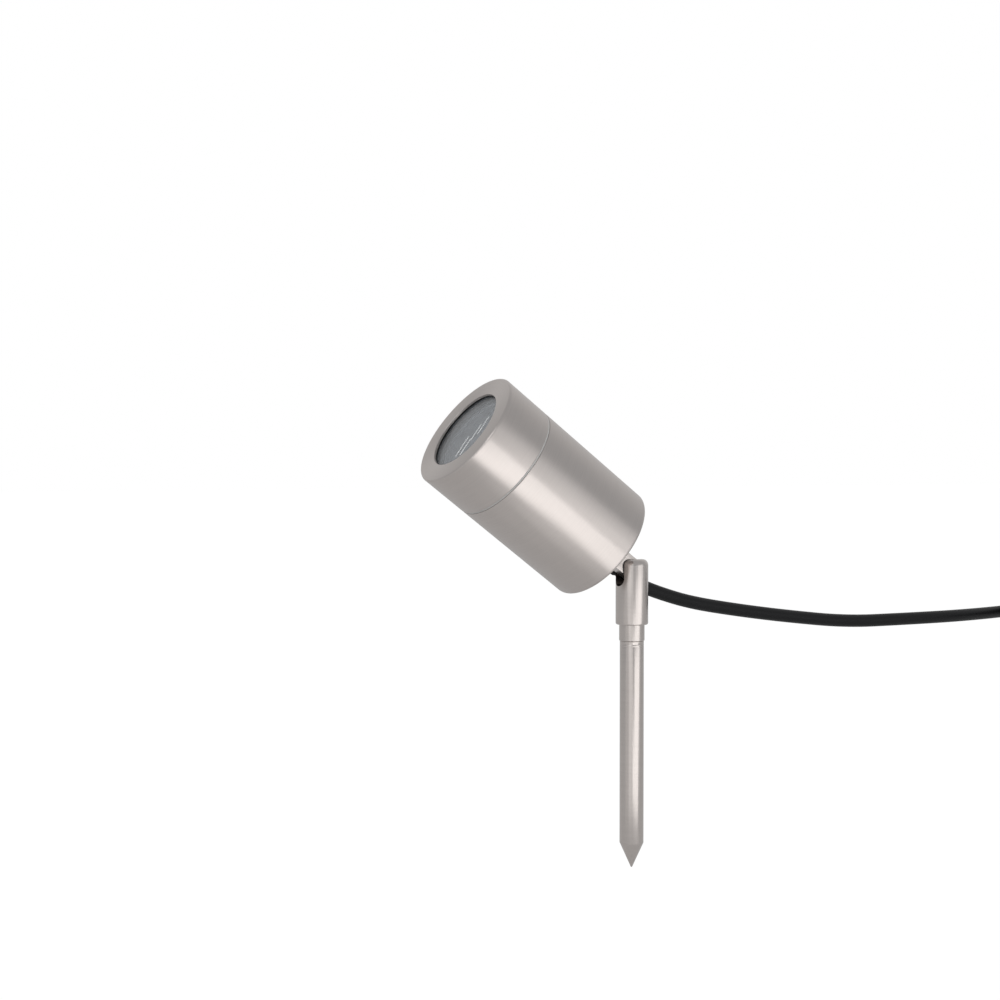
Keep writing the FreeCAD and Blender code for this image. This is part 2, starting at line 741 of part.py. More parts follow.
def make_bracket():
    """Bent sheet bracket that carries the lamp holder above the rear wall."""
    body = new_body("holder_bracket", HEAD)
    half_width = "bracket_width / 2"
    box(body, "Additive", ("bracket_width", f"2 * {BRACKET_HALF_SPAN}", "bracket_thickness"),
        (f"-{half_width}", f"-{BRACKET_HALF_SPAN}", f"{HOLDER_REAR} - bracket_thickness"))
    for leg, foot in ((f"-{BRACKET_HALF_SPAN}", f"-{BRACKET_REACH}"),
                      (f"{BRACKET_HALF_SPAN} - bracket_thickness",
                       f"{BRACKET_HALF_SPAN} - bracket_thickness")):
        box(body, "Additive", ("bracket_width", "bracket_thickness", WIRING_ROOM),
            (f"-{half_width}", leg, REAR_INSIDE))
        box(body, "Additive", ("bracket_width", "bracket_foot", "bracket_thickness"),
            (f"-{half_width}", foot, REAR_INSIDE))
    hole = "small_screw_diameter / 2 + screw_clearance"
    across = bracket_screw_y()
    for y in (across, f"-{across}"):
        cylinder(body, "Subtractive", hole, "bracket_thickness", (0, y, REAR_INSIDE))
    for x in holder_screw_places():
        cylinder(body, "Subtractive", hole, "bracket_thickness",
                 (x, 0, f"{HOLDER_REAR} - bracket_thickness"))
    doc.recompute()


def holder_screw_places():
    return ["-bracket_width / 4", "bracket_width / 4"]


def make_bracket_screws():
    across = bracket_screw_y()
    screws("bracket_screws", [(0, across), (0, f"-{across}")], "small_screw_diameter",
           "small_head_diameter", "small_head_height", "small_screw_bite",
           REAR_INSIDE, "bracket_thickness")


# ------------------------------------------------------------------ terminals and wires

BLOCK_TOP = f"({REAR_INSIDE} + block_height)"
WIRE_RUN = f"({BLOCK_TOP} - wire_entry_drop)"
LEAD_ENTRY = "(block_offset + block_width / 4)"
CLAMP_SCREW = "(block_offset + block_width * 3 / 4)"
POLES = ("-lead_spacing / 2", "lead_spacing / 2")


def make_terminal_block():
    body = new_body("terminal_block", HEAD)
    box(body, "Additive", ("block_width", "block_length", "block_height"),
        ("block_offset", "-block_length / 2", REAR_INSIDE))
    entry = "core_diameter / 2 + entry_clearance"
    for y in POLES:
        cylinder(body, "Subtractive", entry, "entry_depth", ("block_offset", y, WIRE_RUN), ALONG_X)
        cylinder(body, "Subtractive", entry, "entry_depth",
                 (LEAD_ENTRY, y, f"{BLOCK_TOP} - entry_depth"))
        cylinder(body, "Subtractive", "small_screw_diameter / 2 + screw_clearance",
                 "screw_well_depth", (CLAMP_SCREW, y, f"{BLOCK_TOP} - screw_well_depth"))
    doc.recompute()


def make_terminal_screws():
    """Slotted clamp screws, sunk in the block's wells."""
    body = new_body("terminal_screws", HEAD)
    floor = f"({BLOCK_TOP} - screw_well_depth)"
    top = f"({floor} + small_head_height)"
    for y in POLES:
        cylinder(body, "Additive", "small_screw_diameter / 2", "small_head_height",
                 (CLAMP_SCREW, y, floor))
        box(body, "Subtractive", ("small_screw_diameter", "screw_slot_width", "screw_slot_depth"),
            (f"{CLAMP_SCREW} - small_screw_diameter / 2", f"{y} - screw_slot_width / 2",
             f"{top} - screw_slot_depth"))
    doc.recompute()


def make_earth_terminal():
    """Tag under the earth screw, with an upright barrel for the earth wire."""
    body = new_body("earth_tag", HEAD)
    disc = "small_head_diameter / 2 + 0.6"
    barrel_x = "earth_x - earth_barrel_offset"
    cylinder(body, "Additive", disc, "earth_tag_thickness", ("earth_x", EARTH_Y, REAR_INSIDE))
    box(body, "Additive", ("earth_barrel_offset", "earth_barrel_diameter", "earth_tag_thickness"),
        (barrel_x, f"{EARTH_Y} - earth_barrel_diameter / 2", REAR_INSIDE))
    cylinder(body, "Additive", "earth_barrel_diameter / 2",
             "earth_tag_thickness + earth_barrel_height", (barrel_x, EARTH_Y, REAR_INSIDE))
    cylinder(body, "Subtractive", "small_screw_diameter / 2 + screw_clearance",
             "earth_tag_thickness", ("earth_x", EARTH_Y, REAR_INSIDE))
    doc.recompute()
    screws("earth_screw", [("earth_x", EARTH_Y)], "small_screw_diameter",
           "small_head_diameter", "small_head_height", "small_screw_bite",
           REAR_INSIDE, "earth_tag_thickness")


def rounded_path(points, bend_radius=None):
    """Straight runs joined by tangent arcs, and the radii of those arcs.

    Without a given radius, each arc is as large as its two runs allow:
    0.45 of the shorter run, divided by the tangent of half the turn.
    """
    edges = []
    radii = []
    last = points[0]
    for before, corner, after in zip(points, points[1:], points[2:]):
        toward = (corner - before).normalize()
        away = (after - corner).normalize()
        half_turn = toward.getAngle(away) / 2
        shorter = min((corner - before).Length, (after - corner).Length)
        radius = bend_radius or 0.45 * shorter / math.tan(half_turn)
        setback = radius * math.tan(half_turn)
        start = corner - toward * setback
        end = corner + away * setback
        inward = (away - toward).normalize()
        middle = corner + inward * (radius / math.cos(half_turn) - radius)
        edges.append(Part.LineSegment(last, start).toShape())
        edges.append(Part.Arc(start, middle, end).toShape())
        radii.append(radius)
        last = end
    edges.append(Part.LineSegment(last, points[-1]).toShape())
    return Part.Wire(edges), radii


def tube(label, points, radius, placement=WORLD, bend_radius=None):
    """Round bar along a path of runs and arcs."""
    path, radii = rounded_path(points, bend_radius)
    direction = points[1] - points[0]
    section = Part.Wire([Part.Circle(points[0], direction, radius).toShape()])
    solid = path.makePipeShell([section], True, True)
    expected = math.pi * radius ** 2 * path.Length
    if abs(solid.Volume - expected) > 0.01 * expected:
        raise RuntimeError(f"{label}: volume {solid.Volume:.0f}, expected {expected:.0f}")
    item = doc.addObject("Part::Feature", label)
    item.Label = label
    item.Shape = solid
    item.Placement = placement
    nodes.append(item)
    if bend_radius is None:
        print(f"{label}: length {path.Length:.1f}, bend radii",
              " ".join(f"{radius:.0f}" for radius in radii))
    return path


def core_place(number):
    """Formulas of where one of the cord's three cores lies across its section."""
    bearing = f"({90 + 120 * number}) * 1deg"
    return f"core_spread * cos({bearing})", f"core_spread * sin({bearing})"


def make_wires():
    """The cord's three cores inside the housing, and the two leads of the holder."""
    start_z = f"({NUT_FRONT} + sheath_inside)"
    radius = value("core_diameter / 2")
    bend = value("wire_bend")
    starts = []
    for number in range(3):
        x, y = core_place(number)
        starts.append((f"({x} - gland_offset)", y))
    for label, start, end_y in (("wire_brown", starts[0], POLES[1]),
                                ("wire_blue", starts[2], POLES[0])):
        tube(label, [
            vector(*start, start_z),
            vector(*start, WIRE_RUN),
            vector("block_offset - 2 * wire_bend", end_y, WIRE_RUN),
            vector("block_offset + entry_depth", end_y, WIRE_RUN),
        ], radius, HEAD, bend)
    barrel_x = "earth_x - earth_barrel_offset"
    barrel_top = f"{REAR_INSIDE} + earth_tag_thickness + earth_barrel_height"
    tube("wire_earth", [
        vector(*starts[1], start_z),
        vector(*starts[1], f"{start_z} + 2 * wire_bend"),
        vector(barrel_x, EARTH_Y, f"{start_z} + 2 * wire_bend"),
        vector(barrel_x, EARTH_Y, barrel_top),
    ], radius, HEAD, value("wire_bend * 0.8"))
    leads = new_body("holder_leads", HEAD)
    for y in POLES:
        cylinder(leads, "Additive", "core_diameter / 2", "lead_length + entry_depth",
                 (LEAD_ENTRY, y, f"{BLOCK_TOP} - entry_depth"))
    doc.recompute()


# ------------------------------------------------------------------ cord outside

# The cord's route in the world frame, from the bend relief to the coil.  The first
# point is the end of the bend relief and the second lies straight behind it.
CORD_EXIT = on_head("-gland_offset", 0, RELIEF_END).Base
CORD_AWAY = HEAD.Rotation.multVec(FreeCAD.Vector(0, 0, -1))
CORD_STRAIGHT = 12.0
GROUND = -value("ground_drop")
LYING = GROUND + value(CORD_RADIUS)
LEAD_ROUTE = [FreeCAD.Vector(*point) for point in (
    (-13.2, 23.5, 22.0),
    (-13.8, 44.6, 15.9),
)]
RUN_ROUTE = [FreeCAD.Vector(*point) for point in (
    (-14.0, 74.0, 10.8),
    (-13.4, 106.0, 6.2),
    (-12.4, 147.0, LYING),
    (-9.5, 184.0, LYING),
    (-9.0, 222.0, LYING),
    (-14.5, 259.5, LYING),
)]
COIL_CENTRE = FreeCAD.Vector(value("coil_centre_x"), value("coil_centre_y"), GROUND)
COIL_HEIGHT = "(coil_turns_high * cord_diameter)"
COIL_BAND = "(coil_turns_wide * cord_diameter)"
COIL_INNER = f"(coil_mean_radius - {COIL_BAND} / 2)"
COIL_OUTER = f"(coil_mean_radius + {COIL_BAND} / 2)"
OUTER_TURN = value(f"{COIL_OUTER} - {CORD_RADIUS}")

# The free end leaves the top of the coil on its +X side, towards -Y, and comes down
# to the ground: how far along it lies each point, and whether it is still on top.
TAIL = ((0.0, True), (14.0, True), (42.0, False), (56.0, False))


def make_cord():
    """The cord's tube in two stretches, its coil, the tie and the stripped end."""
    radius = value(CORD_RADIUS)
    lead_points = [CORD_EXIT, CORD_EXIT + CORD_AWAY * CORD_STRAIGHT] + LEAD_ROUTE
    # The run meets the outer turn where a line from its last point touches it.
    last = RUN_ROUTE[-1]
    offset = COIL_CENTRE - last
    reach = math.hypot(offset.x, offset.y)
    bearing = math.atan2(offset.y, offset.x) + math.asin(OUTER_TURN / reach)
    length = math.sqrt(reach ** 2 - OUTER_TURN ** 2)
    touch = last + FreeCAD.Vector(math.cos(bearing), math.sin(bearing), 0) * length
    # The lead ends half way along a straight run, so the two tubes meet squarely.
    split = (LEAD_ROUTE[-1] + RUN_ROUTE[0]) * 0.5
    lead = tube("cord_lead", lead_points + [split], radius)
    run = tube("cord_run", [split] + RUN_ROUTE + [touch], radius)
    make_coil()
    tail = make_stripped_end(radius)
    # From the touching point the turns go clockwise and end on the +X side.  The last
    # turn of the top layer stops there, so one turn is left out.
    start = touch - COIL_CENTRE
    full_turns = value("coil_turns_high * coil_turns_wide - 1")
    turns = full_turns + (math.degrees(math.atan2(start.y, start.x)) % 360) / 360
    coiled = turns * 2 * math.pi * value("coil_mean_radius")
    total = lead.Length + run.Length + coiled + tail.Length
    print(f"the run touches the coil at {touch.x:.1f}, {touch.y:.1f}")
    print(f"cord: {total:.0f} mm in all, {coiled:.0f} mm of it in {turns:.2f} turns")


def make_coil():
    """Closed ring of the coiled cord's outer shape, and the tie round it."""
    body = ring("cord_coil", COIL_INNER, COIL_OUTER, 0, COIL_HEIGHT,
                FreeCAD.Placement(COIL_CENTRE, UPRIGHT))

    def any_rim(edge):
        return isinstance(edge.Curve, Part.Circle)
    rounded(body, "coil_rounding", any_rim)
    turn = FreeCAD.Rotation(FreeCAD.Vector(0, 0, 1), value("tie_bearing"))
    tie = new_body("coil_tie", FreeCAD.Placement(COIL_CENTRE, turn))
    box(tie, "Additive", (f"{COIL_BAND} + 2 * tie_thickness", "tie_width",
                          f"{COIL_HEIGHT} + tie_thickness"),
        (f"{COIL_INNER} - tie_thickness", "-tie_width / 2", 0))
    box(tie, "Subtractive", (f"{COIL_BAND} + 2 * tie_sag", "tie_width", COIL_HEIGHT),
        (f"{COIL_INNER} - tie_sag", "-tie_width / 2", 0))
    doc.recompute()


def make_stripped_end(radius):
    """The cord's free end: sheath cut back, three cores with sleeves."""
    floor = LYING
    top = GROUND + value(f"{COIL_HEIGHT} - {CORD_RADIUS}")
    x = COIL_CENTRE.x + OUTER_TURN
    points = [FreeCAD.Vector(x, COIL_CENTRE.y - along, top if raised else floor)
              for along, raised in TAIL]
    path = tube("cord_tail", points, radius)
    end = FreeCAD.Placement(points[-1], FreeCAD.Rotation(FreeCAD.Vector(1, 0, 0), 90))
    sleeves = new_body("core_ferrules", end)
    for number, label in enumerate(("core_brown", "core_blue", "core_earth")):
        x, y = core_place(number)
        length = f"core_length + {number} * core_step"
        body = new_body(label, end)
        cylinder(body, "Additive", "core_diameter / 2", length, (x, y, 0))
        cylinder(sleeves, "Additive", "ferrule_diameter / 2", "ferrule_length",
                 (x, y, length))
    doc.recompute()
    return path


# ------------------------------------------------------------------ build and write

make_spike()
make_stud()
make_post()
make_pivot_screw()
make_pivot_washers()
make_housing()
make_lug()
make_lug_screws()
make_seam_ring()
make_bezel()
make_glass_and_gaskets()
make_gland()
make_lamp()
make_holder()
make_contacts()
make_bracket()
make_bracket_screws()
make_terminal_block()
make_terminal_screws()
make_earth_terminal()
make_wires()
make_cord()
doc.recompute()

for item in doc.Objects:
    if "Invalid" in item.State or "Error" in item.State:
        raise RuntimeError(f"{item.Label} did not build: {item.State}")

os.makedirs("parts", exist_ok=True)
for node in nodes:
    shape = node.Shape
    if shape.isNull() or not shape.isValid():
        raise RuntimeError(f"{node.Label} has no valid shape")
    shape.exportStep(os.path.join("parts", node.Label + ".step"))
print(len(nodes), "sub-parts written")
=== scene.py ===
import json
import math

import bmesh
import bpy
import numpy as np
from bpy.props import FloatProperty, FloatVectorProperty, IntProperty, PointerProperty
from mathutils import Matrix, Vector


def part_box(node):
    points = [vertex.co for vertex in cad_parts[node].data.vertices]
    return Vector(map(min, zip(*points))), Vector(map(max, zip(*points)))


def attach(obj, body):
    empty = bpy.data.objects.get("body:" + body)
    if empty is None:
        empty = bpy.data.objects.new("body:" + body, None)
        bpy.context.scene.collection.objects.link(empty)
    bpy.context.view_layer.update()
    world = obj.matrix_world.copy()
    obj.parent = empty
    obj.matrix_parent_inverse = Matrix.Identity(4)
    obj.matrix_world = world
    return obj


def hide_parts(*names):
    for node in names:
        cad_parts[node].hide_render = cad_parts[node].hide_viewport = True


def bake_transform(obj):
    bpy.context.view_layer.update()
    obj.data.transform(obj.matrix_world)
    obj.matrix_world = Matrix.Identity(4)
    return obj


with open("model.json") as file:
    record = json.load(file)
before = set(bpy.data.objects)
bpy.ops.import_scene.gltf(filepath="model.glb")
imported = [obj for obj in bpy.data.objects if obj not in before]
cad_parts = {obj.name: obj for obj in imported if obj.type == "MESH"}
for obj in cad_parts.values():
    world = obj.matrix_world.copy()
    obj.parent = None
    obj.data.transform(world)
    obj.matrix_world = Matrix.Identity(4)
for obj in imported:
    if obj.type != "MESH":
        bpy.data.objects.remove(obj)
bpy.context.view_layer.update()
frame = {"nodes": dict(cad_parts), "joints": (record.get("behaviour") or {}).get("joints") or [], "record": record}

bl_info = {
    "name": "Garden spike spotlight",
    "version": (1, 0, 0),
    "blender": (4, 5, 0),
    "location": "3D View > Sidebar > Spotlight",
    "description": "Builds the visible surfaces and finishes of a garden spike spotlight",
    "category": "Object",
}

JOINTS = {joint["name"]: joint for joint in frame["joints"]}
PIVOT = np.array(JOINTS["tilt"]["pos_m"])
BEAM = np.array(JOINTS["bezel_turn"]["axis"])
BEAM = BEAM / np.linalg.norm(BEAM)
ACROSS = np.array([1.0, 0.0, 0.0])
# Rows are the head's own axes: across, up and square to the beam, and along the beam.
HEAD_AXES = np.array([ACROSS, np.cross(BEAM, ACROSS), BEAM])
WORLD_AXES = np.eye(3)
ORIGIN = np.zeros(3)
MM = 0.001
SLOTS = {part["node"]: part["material_slot"] for part in frame["record"]["subparts"]}
WHITE = (1.0, 1.0, 1.0, 1.0)


# ---------------- sizes and finishes

def measure(name, millimetres, description):
    """A length whose default is given in millimetres."""
    return FloatProperty(name=name, description=description, default=millimetres * MM,
                         unit="LENGTH")


def tone(name, default, description):
    """A colour that a user may change."""
    return FloatVectorProperty(name=name, description=description, subtype="COLOR",
                               default=default, size=3)


class SpotlightSizes(bpy.types.PropertyGroup):
    """Sizes that the solids of the frame don't give."""

    edge_radius: measure("Edge radius", 0.35, "Rounding of the fine edges of the steel shells")
    rim_radius: measure("Rim radius", 1.1, "Rounding of the bezel's front rim")
    rear_radius: measure("Rear radius", 2, "Rounding of the housing's rear edge")
    wall: measure("Housing wall", 3.5, "Wall of the housing")
    rear_wall: measure("Rear wall", 4, "Thickness of the housing's rear wall")
    spigot_wall: measure("Spigot wall", 1.6, "Wall of the threaded spigot")
    thread_pitch: measure("Thread pitch", 1.5, "Travel of the bezel in one turn")
    thread_depth: measure("Thread depth", 0.45, "Depth of the spigot's thread")
    collar_height: measure("Collar height", 8, "Height of the collar under the post")
    collar_diameter: measure("Collar diameter", 12.5, "Diameter of the collar under the post")
    post_rounding: measure("Post rounding", 3, "Rounding of the post's top edge")
    slot_width: measure("Slot width", 7.6, "Width of the slot for the lug")
    slot_depth: measure("Slot depth", 13.2, "Depth of the slot below the post's top")
    point_length: measure("Point length", 12.3, "Length of the spike's point")
    gland_offset: measure("Gland offset", 13, "From the head's axis to the gland's")
    relief_end_diameter: measure("Relief end", 8, "Diameter of the bend relief at its thin end")
    rib_pitch: measure("Rib pitch", 2.2, "From one rib of the bend relief to the next")
    cap_flutes: IntProperty(
        name="Cap flutes", description="Flutes round the gland's cap", default=12)
    lathe_steps: IntProperty(
        name="Steps round", description="Faces round a turned piece",
        default=192, min=24)
    cord_diameter: measure("Cord diameter", 6.8, "Diameter of the rubber cord")
    cord_length: measure("Cord length", 1700, "Whole length of the cord outside the gland")
    coil_mean_radius: measure("Coil radius", 39,
                              "Radius of the coil at the middle of its turns")
    turns_wide: IntProperty(
        name="Turns side by side", description="Turns of one layer of the coil", default=3)
    points_per_turn: IntProperty(
        name="Points per turn", description="Control points in one turn of the coil",
        default=16, min=12)


class SpotlightFinishes(bpy.types.PropertyGroup):
    """Colours of the visible materials."""

    steel: tone("Steel", (0.575, 0.53, 0.505), "Colour of the stainless steel")
    rubber: tone("Rubber", (0.013, 0.013, 0.014), "Colour of the cord and the seals")
    nylon: tone("Nylon", (0.008, 0.008, 0.008), "Colour of the gland")
    silicone: tone("Silicone", (0.68, 0.67, 0.65), "Colour of the ring in the joint")


def sizes():
    return bpy.context.scene.spotlight_sizes


def finishes():
    return bpy.context.scene.spotlight_finishes


# ---------------- measuring the frame

def local_points(node, origin, axes):
    """Vertices of a CAD node in a frame given by its origin and its rows of axes."""
    mesh = frame["nodes"][node].data
    points = np.empty(len(mesh.vertices) * 3)
    mesh.vertices.foreach_get("co", points)
    return (points.reshape(-1, 3) - origin) @ axes.T


def turned_size(node, origin=PIVOT, axes=HEAD_AXES):
    """(lowest, highest, inner radius, outer radius) of a turned node about its axis."""
    points = local_points(node, origin, axes)
    radii = np.hypot(points[:, 0], points[:, 1])
    return points[:, 2].min(), points[:, 2].max(), radii.min(), radii.max()


# ---------------- surfaces

# The share of a side that the rounding at one of its ends may take.
LARGEST_SETBACK = 0.49
# Points nearer than this are one point, in metres.
SAME_POINT = 1e-7
SHARP_ANGLE = math.radians(35)
# A solid's points nearer than this are one, faces that turn less are one, and edges that
# turn more are eased.
CAD_SAME_POINT = 1e-6
CAD_FLAT = math.radians(1)
CAD_EDGE = math.radians(30)


def unit(vector):
    return vector / np.linalg.norm(vector)


def rounded_profile(corners, steps=4):
    """Points of an outline whose corners are arcs.

    Each corner is (radius from the axis, height, rounding).  A rounding r is an arc of
    radius r that touches both sides: it starts and ends r / tan(half the inner angle)
    from the corner, and its points lie on the circle round the centre.
    """
    corners = [np.array(corner, float) for corner in corners]
    points = []
    for index, corner in enumerate(corners):
        here, rounding = corner[:2], corner[2]
        if rounding <= 0:
            points.append(here)
            continue
        before = corners[index - 1][:2] - here
        after = corners[(index + 1) % len(corners)][:2] - here
        before_length, after_length = np.linalg.norm(before), np.linalg.norm(after)
        before, after = before / before_length, after / after_length
        half = math.acos(np.clip(before @ after, -1, 1)) / 2
        room = LARGEST_SETBACK * min(before_length, after_length)
        setback = min(rounding / math.tan(half), room)
        radius = setback * math.tan(half)
        centre = here + unit(before + after) * radius / math.sin(half)
        first = here + before * setback - centre
        last = here + after * setback - centre
        start = math.atan2(first[1], first[0])
        sweep = math.atan2(last[1], last[0]) - start
        sweep = (sweep + math.pi) % (2 * math.pi) - math.pi
        angles = start + sweep * np.linspace(0, 1, steps + 1)
        points.extend(centre + radius * np.column_stack([np.cos(angles), np.sin(angles)]))
    return np.array(points)


def rounded_box(left, right, low, high, near, far, steps=4):
    """Outline of a rectangle: near rounds its left corners and far its right ones."""
    return rounded_profile([(left, low, near), (right, low, far), (right, high, far),
                            (left, high, near)], steps)


def add_object(name, data):
    """New object with the given data, linked to the scene."""
    made = bpy.data.objects.new(name, data)
    bpy.context.scene.collection.objects.link(made)
    return made


def settle(mesh):
    """Merge doubled points, such as those of a pole, and turn all faces outwards."""
    build = bmesh.new()
    build.from_mesh(mesh)
    bmesh.ops.remove_doubles(build, verts=build.verts, dist=SAME_POINT)
    bmesh.ops.recalc_face_normals(build, faces=build.faces)
    build.to_mesh(mesh)
    build.free()
    return mesh


def grid_mesh(name, grid, uv, closed):
    """Mesh of a grid of points (rows, columns, 3).  The last row always joins the first,
    and the last column joins the first where the section is closed.

    The corners of each face are (row, column) and its three neighbours, worked out as
    whole index arrays.
    """
    rows, columns = grid.shape[:2]
    row, column = np.meshgrid(np.arange(rows), np.arange(columns if closed else columns - 1),
                              indexing="ij")
    next_row, next_column = (row + 1) % rows, (column + 1) % columns
    faces = np.stack([row * columns + column, row * columns + next_column,
                      next_row * columns + next_column, next_row * columns + column], axis=-1)
    mesh = bpy.data.meshes.new(name)
    mesh.from_pydata(grid.reshape(-1, 3).tolist(), [], faces.reshape(-1, 4).tolist())
    layer = mesh.uv_layers.new(name="surface")
    u = np.stack([uv[0][row], uv[0][row], uv[0][row + 1], uv[0][row + 1]], axis=-1)
    v = np.stack([uv[1][column], uv[1][column + 1],
                  uv[1][column + 1], uv[1][column]], axis=-1)
    layer.data.foreach_set("uv", np.stack([u, v], axis=-1).ravel())
    return settle(mesh)


def finish_piece(mesh, material, body, *nodes):
    """Put a mesh in the scene in place of the given nodes, with the given material."""
    piece = add_object(mesh.name, mesh)
    mesh.materials.append(MATERIALS[material])
    mesh.shade_smooth()
    mesh.set_sharp_from_angle(angle=SHARP_ANGLE)
    if body:
        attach(piece, body)
    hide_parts(*nodes)
    return piece


def travelled(path):
    """Distance along a path at each of its points."""
    return np.concatenate([[0], np.cumsum(np.linalg.norm(np.diff(path, axis=0), axis=1))])


def lathe(name, profile, origin=PIVOT, axes=HEAD_AXES, closed=True, steps=None, ripple=None):
    """Surface of revolution: the point at angle a and profile point (r, z) is
    origin + r cos a * first axis + r sin a * second axis + z * third axis.

    ripple, where given, is a function of (angle, profile) that returns what is added
    to r, such as the flutes of a cap.
    """
    steps = steps or sizes().lathe_steps
    angles = np.linspace(0, 2 * math.pi, steps, endpoint=False)[:, None]
    radii, heights = profile[:, 0][None, :], profile[:, 1][None, :]
    if ripple:
        radii = radii + ripple(angles, profile)
    local = np.stack(np.broadcast_arrays(
        radii * np.cos(angles), radii * np.sin(angles), heights), axis=-1)
    grid = origin + local @ axes
    return grid_mesh(name, grid, (np.linspace(0, 1, steps + 1),
                                  travelled(np.vstack([profile, profile[:1]]))), closed)


def tube_normals(path):
    """Two normals along a path.

    The tangent is the difference of a point's neighbours.  The first normal is square to
    it and turns as little as it can: it is the last one less its part along the tangent.
    """
    tangents = np.gradient(path, axis=0)
    tangents /= np.linalg.norm(tangents, axis=1)[:, None]
    normals = [unit(np.cross(tangents[0], ACROSS + 0.3))]
    for tangent in tangents[1:]:
        normals.append(unit(normals[-1] - tangent * (normals[-1] @ tangent)))
    return np.array(normals), np.cross(tangents, normals)


def tube(name, path, radius, steps=24):
    """Tube along a path: path + r cos a * normal + r sin a * second normal.

    radius is one number or one for each point.  A point of no radius closes each end.
    """
    radii = np.pad(np.broadcast_to(radius, len(path)).astype(float), 1)
    path, normals, others = (np.pad(rows, ((1, 1), (0, 0)), mode="edge")
                             for rows in (path, *tube_normals(path)))
    angles = np.linspace(0, 2 * math.pi, steps, endpoint=False)[:, None, None]
    grid = path[None] + radii[None, :, None] * (
        np.cos(angles) * normals[None] + np.sin(angles) * others[None])
    return grid_mesh(name, grid, (np.linspace(0, 1, steps + 1), travelled(path)), False)


def smooth_line(points, resolution=12):
    """Points along a third-order NURBS curve with the given control points."""
    curve = bpy.data.curves.new("line", "CURVE")
    curve.dimensions = "3D"
    spline = curve.splines.new("NURBS")
    spline.points.add(len(points) - 1)
    spline.points.foreach_set("co", np.column_stack([points, np.ones(len(points))]).ravel())
    spline.order_u = 3
    spline.use_endpoint_u = True
    spline.resolution_u = resolution
    holder = add_object("line", curve)
    bpy.context.view_layer.update()
    graph = bpy.context.evaluated_depsgraph_get()
    mesh = bpy.data.meshes.new_from_object(holder.evaluated_get(graph))
    line = np.empty(len(mesh.vertices) * 3)
    mesh.vertices.foreach_get("co", line)
    bpy.data.objects.remove(holder)
    bpy.data.curves.remove(curve)
    bpy.data.meshes.remove(mesh)
    return line.reshape(-1, 3)


def prism(name, outline, low, high, origin, axes):
    """Outline of (x, y) points carried along the third axis from low to high."""
    count = len(outline)
    layers = [np.column_stack([outline, np.full(count, height)]) for height in (low, high)]
    points = origin + np.vstack(layers) @ axes
    around = np.arange(count)
    following = (around + 1) % count
    sides = np.column_stack([around, following, following + count, around + count])
    mesh = bpy.data.meshes.new(name)
    caps = [around[::-1].tolist(), (around + count).tolist()]
    mesh.from_pydata(points.tolist(), [], sides.tolist() + caps)
    return settle(mesh)


def cut_away(mesh, cutters):
    """The mesh less the cutters' meshes, by exact booleans that keep its UV map."""
    piece = add_object(mesh.name, mesh)
    tools = []
    for cutter in cutters:
        tool = add_object(cutter.name, cutter)
        tools.append(tool)
        modifier = piece.modifiers.new(cutter.name, "BOOLEAN")
        modifier.operation = "DIFFERENCE"
        modifier.solver = "EXACT"
        modifier.object = tool
    graph = bpy.context.evaluated_depsgraph_get()
    result = bpy.data.meshes.new_from_object(piece.evaluated_get(graph))
    result.name = mesh.name + "_cut"
    for item in [piece] + tools:
        data = item.data
        bpy.data.objects.remove(item)
        bpy.data.meshes.remove(data)
    return result


def eased_copy(node, name, width):
    """Copy of a CAD node with its doubles merged and its sharp edges bevelled."""
    build = bmesh.new()
    build.from_mesh(frame["nodes"][node].data)
    bmesh.ops.remove_doubles(build, verts=build.verts, dist=CAD_SAME_POINT)
    bmesh.ops.dissolve_limit(build, angle_limit=CAD_FLAT, verts=build.verts,
                             edges=build.edges)
    sharp = [edge for edge in build.edges
             if len(edge.link_faces) == 2 and edge.calc_face_angle(0) > CAD_EDGE]
    bmesh.ops.bevel(build, geom=sharp, offset=width, offset_type="OFFSET", segments=3,
                    profile=0.5, affect="EDGES", clamp_overlap=True)
    mesh = bpy.data.meshes.new(name)
    build.to_mesh(mesh)
    build.free()
    return mesh


# ---------------- material groups

DUST = (0.5, 0.47, 0.42, 1)
CLOUD_SHARE = 0.35
LINE_DEPTH = 0.004 * MM
SMEAR_ROUGHNESS = 0.012
# How dark the painted shade on the slot's faces is beside the rest, and how far round them that reaches in mm.
SLOT_SHADE_TONE = 0.3
SLOT_SHADE_MARGIN = 0.06


def new_group(name, numbers, outputs):
    """Start a node group that takes a place and numbers and gives numbers."""
    group = bpy.data.node_groups.new(name, "ShaderNodeTree")
    add_socket = group.interface.new_socket
    add_socket(name="Place", in_out="INPUT", socket_type="NodeSocketVector")
    for label, default in numbers.items():
        socket = add_socket(name=label, in_out="INPUT", socket_type="NodeSocketFloat")
        socket.default_value = default
    for label in outputs:
        add_socket(name=label, in_out="OUTPUT", socket_type="NodeSocketFloat")
    return group, group.nodes.new("NodeGroupInput"), group.nodes.new("NodeGroupOutput")


def feed(tree, node, sources):
    """Link or set a node's inputs, given by name or number."""
    for socket, source in sources:
        if isinstance(source, bpy.types.NodeSocket):
            tree.links.new(source, node.inputs[socket])
        else:
            node.inputs[socket].default_value = source
    return node


def add_node(tree, kind, sources=(), **settings):
    node = tree.nodes.new(kind)
    for name, setting in settings.items():
        setattr(node, name, setting)
    return feed(tree, node, sources)


def math_node(tree, operation, first, second=0.0, third=0.5):
    return add_node(tree, "ShaderNodeMath", enumerate((first, second, third)),
                    operation=operation).outputs[0]


def noise(tree, place, scale, detail, roughness=0.5):
    return add_node(tree, "ShaderNodeTexNoise", [
        ("Vector", place), ("Scale", scale), ("Detail", detail),
        ("Roughness", roughness)]).outputs["Fac"]


